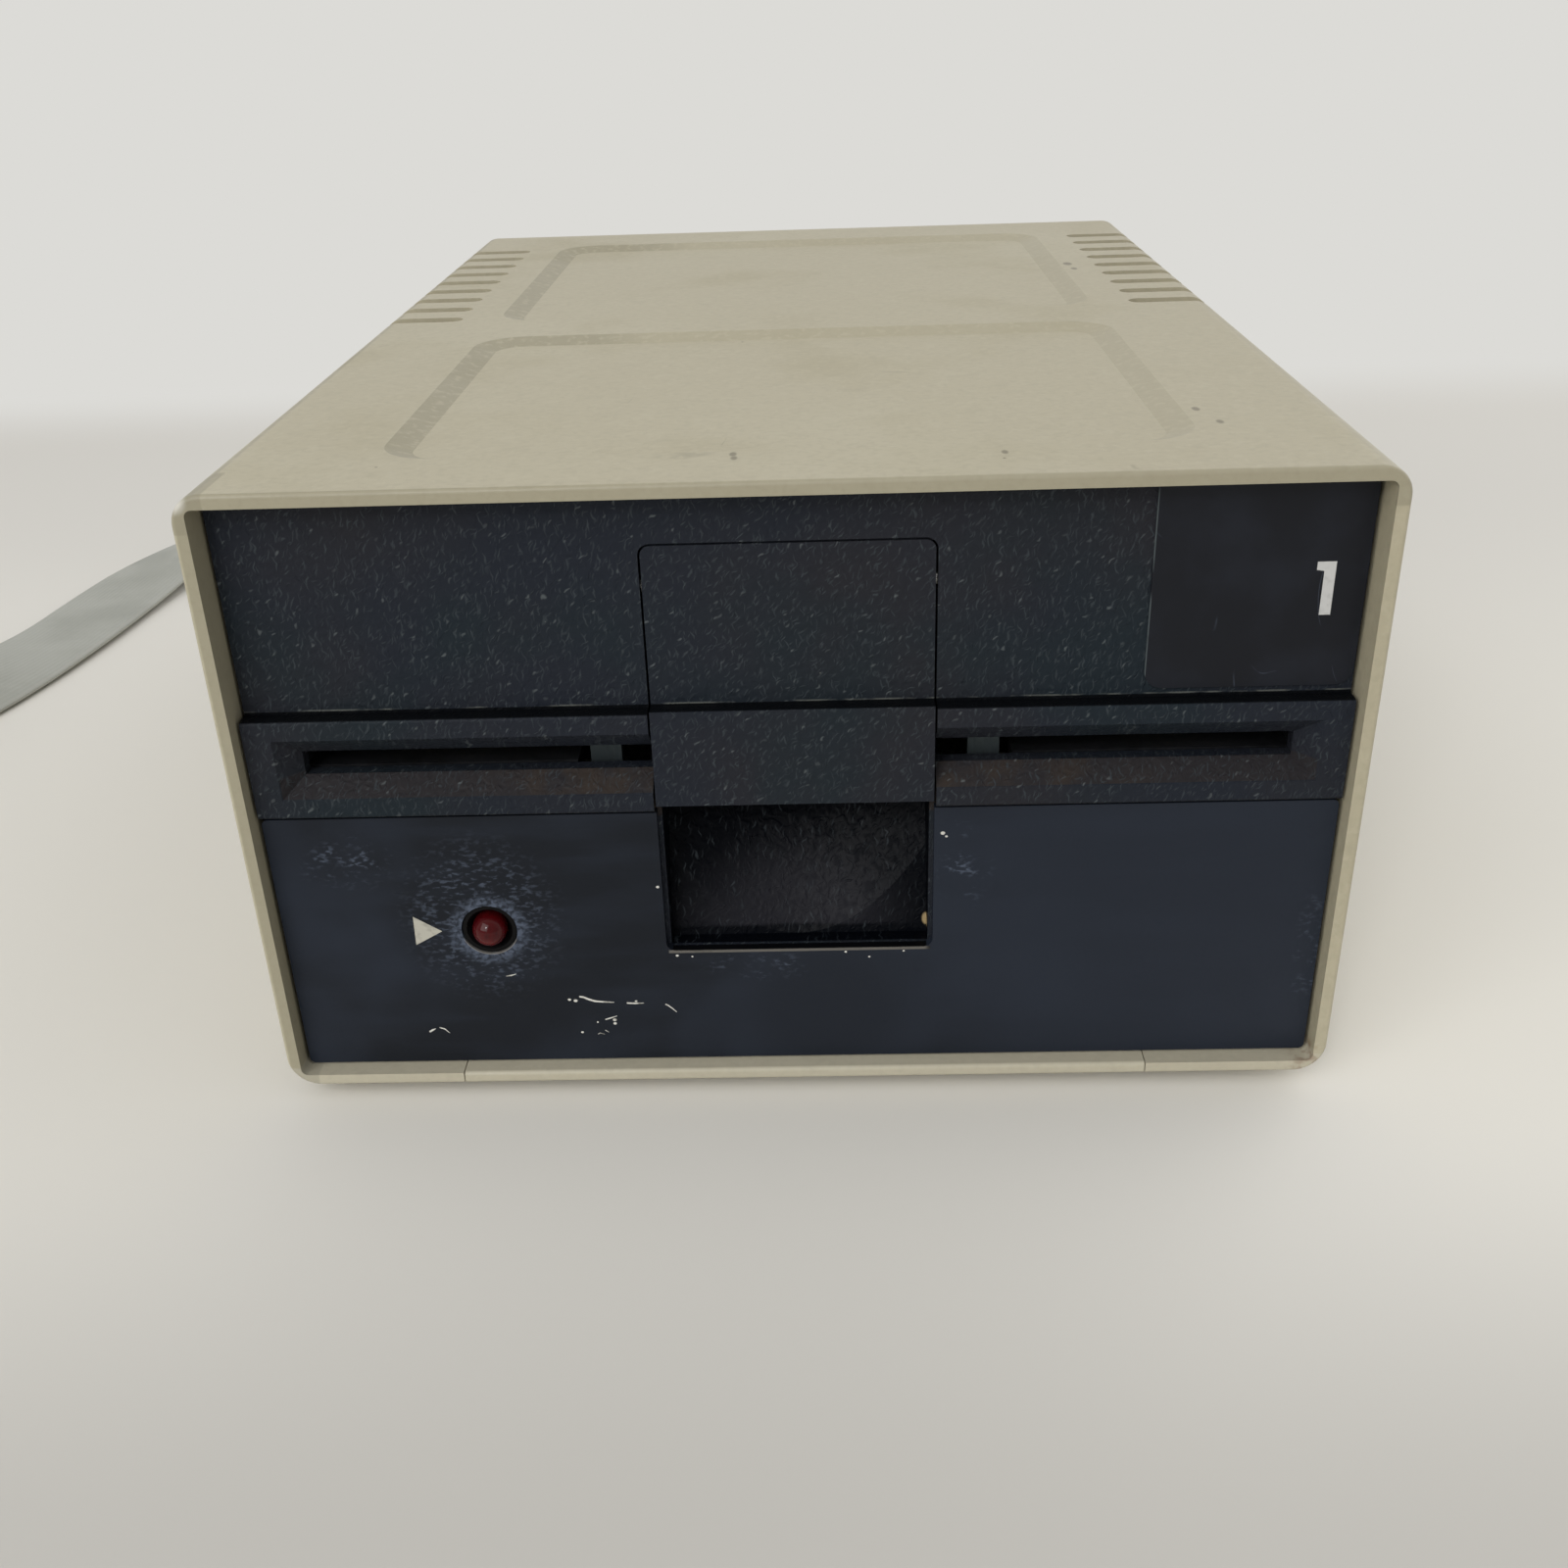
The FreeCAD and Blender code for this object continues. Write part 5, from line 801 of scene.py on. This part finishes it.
# printed numeral and pointer, a hair proud of what carries them; outlines are (x, z) in mm
prints = {
    "numeral": {"front": -100.35, "ink": "screenInk", "outline": (
        (67.14, 79.35), (67.14, 78.25), (68.1, 78.1), (68.1, 72.15), (69.55, 72.15), (69.55, 79.35))},
    "pointer": {"front": -102.1, "ink": "pointerInk", "outline": (
        (-54.82, 30.03), (-54.95, 25.27), (-50.94, 27.52))},
}
proud = {"print": 0.03, "rub": 0.02, "sunk": 0.01}  # mm in front of the carrier, and into it


def slab(outline, back, front):  # closed plate over an outline, given clockwise or not
    area = sum(a[0] * b[1] - b[0] * a[1] for a, b in zip(outline, outline[1:] + outline[:1]))
    ring = outline if area > 0 else outline[::-1]  # anticlockwise seen from the front
    count = len(ring)
    points = [(x / 1000, y / 1000, z / 1000) for y in (front, back) for x, z in ring]
    faces = [tuple(range(count)), tuple(range(2 * count - 1, count - 1, -1))]
    faces += [(i, i + count, (i + 1) % count + count, (i + 1) % count) for i in range(count)]
    return points, faces


for name, facts in prints.items():
    back, front = facts["front"] + proud["sunk"], facts["front"] - proud["print"]
    points, faces = slab(facts["outline"], back, front)
    meshPiece(name, points, faces, "drive", materials[facts["ink"]])

# old paint rubbed off on the plate: strokes and dots as (x, z) in mm, with their half widths
rubs = {
    "front": -102.1,
    "thin": 0.35,  # share of its width that a stroke has left at its end
    "from": 0.25,  # how far into its swell a stroke starts
    "dotLong": 1.25, "dotCorners": 9,
    "strokes": (
        (0.16, ((-32.31, 15.85), (-31.74, 15.76), (-30.97, 15.35), (-30.12, 15.02), (-29.1, 14.89),
                (-28.08, 14.8), (-27.3, 14.74))),
        (0.14, ((-25.46, 14.59), (-24.29, 14.51), (-22.97, 14.54))),
        (0.10, ((-19.83, 14.29), (-19.48, 14.1), (-18.86, 13.52), (-18.24, 12.87))),
        (0.11, ((-28.85, 11.71), (-28.02, 11.98), (-27.05, 12.32))),
        (0.07, ((-30.11, 9.1), (-29.83, 9.31), (-29.14, 9.08))),
        (0.07, ((-29.01, 9.81), (-28.52, 9.43))),
        (0.16, ((-55.1, 10.0), (-54.6, 10.3), (-54.1, 10.55))),
        (0.10, ((-53.55, 10.75), (-52.8, 10.5), (-52.1, 9.7))),
        (0.10, ((-42.6, 19.65), (-41.9, 19.75), (-41.1, 20.0))),
    ),
    "dots": (
        (-33.8, 15.35, 0.2), (-32.92, 15.14, 0.24), (-24.08, 14.9, 0.16), (-27.44, 11.63, 0.24),
        (-27.47, 11.0, 0.22), (-32.42, 9.49, 0.17), (-30.0, 11.27, 0.12), (-19.62, 34.22, 0.2),
        (-17.57, 22.70, 0.18), (6.63, 22.88, 0.15), (9.99, 21.98, 0.14), (14.90, 22.88, 0.13),
        (20.19, 42.02, 0.26), (20.7, 41.5, 0.16), (-15.4, 22.5, 0.12),
    ),
}


def strokeOutline(half, line):
    upper, lower = [], []
    last = len(line) - 1
    for index, (x, z) in enumerate(line):
        after, before = line[min(index + 1, last)], line[max(index - 1, 0)]
        run = Vector((after[0] - before[0], after[1] - before[1])).normalized()
        swell = math.sin(math.pi * min(1, rubs["from"] + (1 - rubs["from"]) * index / last))
        wide = half * (rubs["thin"] + (1 - rubs["thin"]) * swell)
        upper.append((x - run.y * wide, z + run.x * wide))
        lower.append((x + run.y * wide, z - run.x * wide))
    return upper + lower[::-1]


def dotOutline(x, z, radius):
    wide, count = radius * rubs["dotLong"], rubs["dotCorners"]
    angles = [2 * math.pi * corner / count for corner in range(count)]
    return [(x + wide * math.cos(angle), z + radius * math.sin(angle)) for angle in angles]


def makeRubs():
    points, faces = [], []
    outlines = [strokeOutline(*stroke) for stroke in rubs["strokes"]]
    outlines += [dotOutline(*dot) for dot in rubs["dots"]]
    for outline in outlines:
        part, sides = slab(outline, rubs["front"] + proud["sunk"], rubs["front"] - proud["rub"])
        faces += [tuple(i + len(points) for i in side) for side in sides]
        points += part
    meshPiece("plateRubs", points, faces, "drive", materials["rubbedOffPaint"])


makeRubs()
print("prints and rubs made")


# soft studio light, a pale floor that fades into the background and has a painted shadow in front, and a pale
# world
studio = {
    "wall": "#dcdbd7", "ambient": 0.53,
    "glossBehind": 0.45, "glossTurn": (-0.5, 0.1),  # how dim a gloss shows the room behind the camera
    # the darker floor colour in front is painted shadow; near gives where it starts and is full
    "floor": "#ebe8e0", "floorShadow": "#cac7c0", "floorBack": "#e0ddd6", "half": 3, "rough": 0.9,
    "near": (-0.115, -0.19), "back": (0.0, 0.2), "fade": (0.27, 0.36),  # y in metres: none and full
    "lamps": (  # name, place, aim, size and power
        ("backRight", (1.2, 0.65, 0.9), (0, 0, 0.05), 1.5, 8.2),
        ("frontLeft", (-0.7, -1.2, 0.9), (0, -0.1, 0.05), 1.3, 11.2),
        ("window", (-0.3, -0.9, 0.6), (0, -0.1, 0.05), 0.11, 1.0),
    ),
}


def makeWorld():
    world = bpy.data.worlds.new("paleRoom")
    bpy.context.scene.world = world
    world.use_nodes = True
    tree = world.node_tree
    tree.nodes.clear()
    rays = addNode(tree, "ShaderNodeLightPath").outputs
    glossy = addNode(tree, "ShaderNodeMath", {"operation": "MAXIMUM"},
                     {0: rays["Is Glossy Ray"], 1: rays["Is Transmission Ray"]})
    toward = addNode(tree, "ShaderNodeSeparateXYZ",
                     links={0: addNode(tree, "ShaderNodeTexCoord").outputs["Object"]})
    dim, full = studio["glossTurn"]
    dimming = addNode(tree, "ShaderNodeMapRange", {1: dim, 2: full, 3: studio["glossBehind"], 4: 1.0},
                      {0: toward.outputs[1]})
    wallColour = toLinear(studio["wall"])
    room = addNode(tree, "ShaderNodeBackground", {"Color": (1, 1, 1, 1), "Strength": studio["ambient"]})
    wall = addNode(tree, "ShaderNodeBackground", {"Color": wallColour, "Strength": 1.0})
    shown = addNode(tree, "ShaderNodeBackground", {"Color": wallColour}, {"Strength": dimming.outputs[0]})
    mirrored = addNode(tree, "ShaderNodeMixShader",
                       links={0: glossy.outputs[0], 1: room.outputs[0], 2: shown.outputs[0]})
    seen = addNode(tree, "ShaderNodeMixShader",
                   links={0: rays["Is Camera Ray"], 1: mirrored.outputs[0], 2: wall.outputs[0]})
    addNode(tree, "ShaderNodeOutputWorld", links={0: seen.outputs[0]})


def makeLamps():
    for name, place, aim, size, power in studio["lamps"]:
        light = bpy.data.lights.new(name, "AREA")
        light.size, light.energy = size, power
        lamp = addPiece(name, light)
        away = Vector(place) - Vector(aim)
        lamp.matrix_world = Matrix.Translation(place) @ away.to_track_quat("Z", "Y").to_matrix().to_4x4()


def makeFloor():
    mesh = bpy.data.meshes.new("floor")
    half = studio["half"]
    corners = [(-half, -half, 0), (half, -half, 0), (half, half, 0), (-half, half, 0)]
    mesh.from_pydata(corners, [], [(0, 1, 2, 3)])
    floor = addPiece("floor", mesh)
    material, tree, coords, shader = start("paleCloth")
    depth = addNode(tree, "ShaderNodeSeparateXYZ", links={0: coords}).outputs[1]
    near, back, fade = (
        addNode(tree, "ShaderNodeMapRange", {"interpolation_type": "SMOOTHSTEP", 1: none, 2: full},
                {0: depth}).outputs[0]
        for none, full in (studio["near"], studio["back"], studio["fade"]))
    colour(tree, shader, studio["floor"], [(studio["floorBack"], 1, back), (studio["floorShadow"], 1, near)])
    shader.inputs["Roughness"].default_value = studio["rough"]
    glow = addNode(tree, "ShaderNodeEmission", {"Color": toLinear(studio["wall"]), "Strength": 1.0})
    mix = addNode(tree, "ShaderNodeMixShader", links={0: fade, 1: shader.outputs[0], 2: glow.outputs[0]})
    tree.links.new(mix.outputs[0], tree.nodes["Material Output"].inputs[0])
    floor.data.materials.append(material)


bpy.context.scene.view_settings.view_transform = "Standard"
makeWorld()
makeLamps()
makeFloor()
print("studio made")
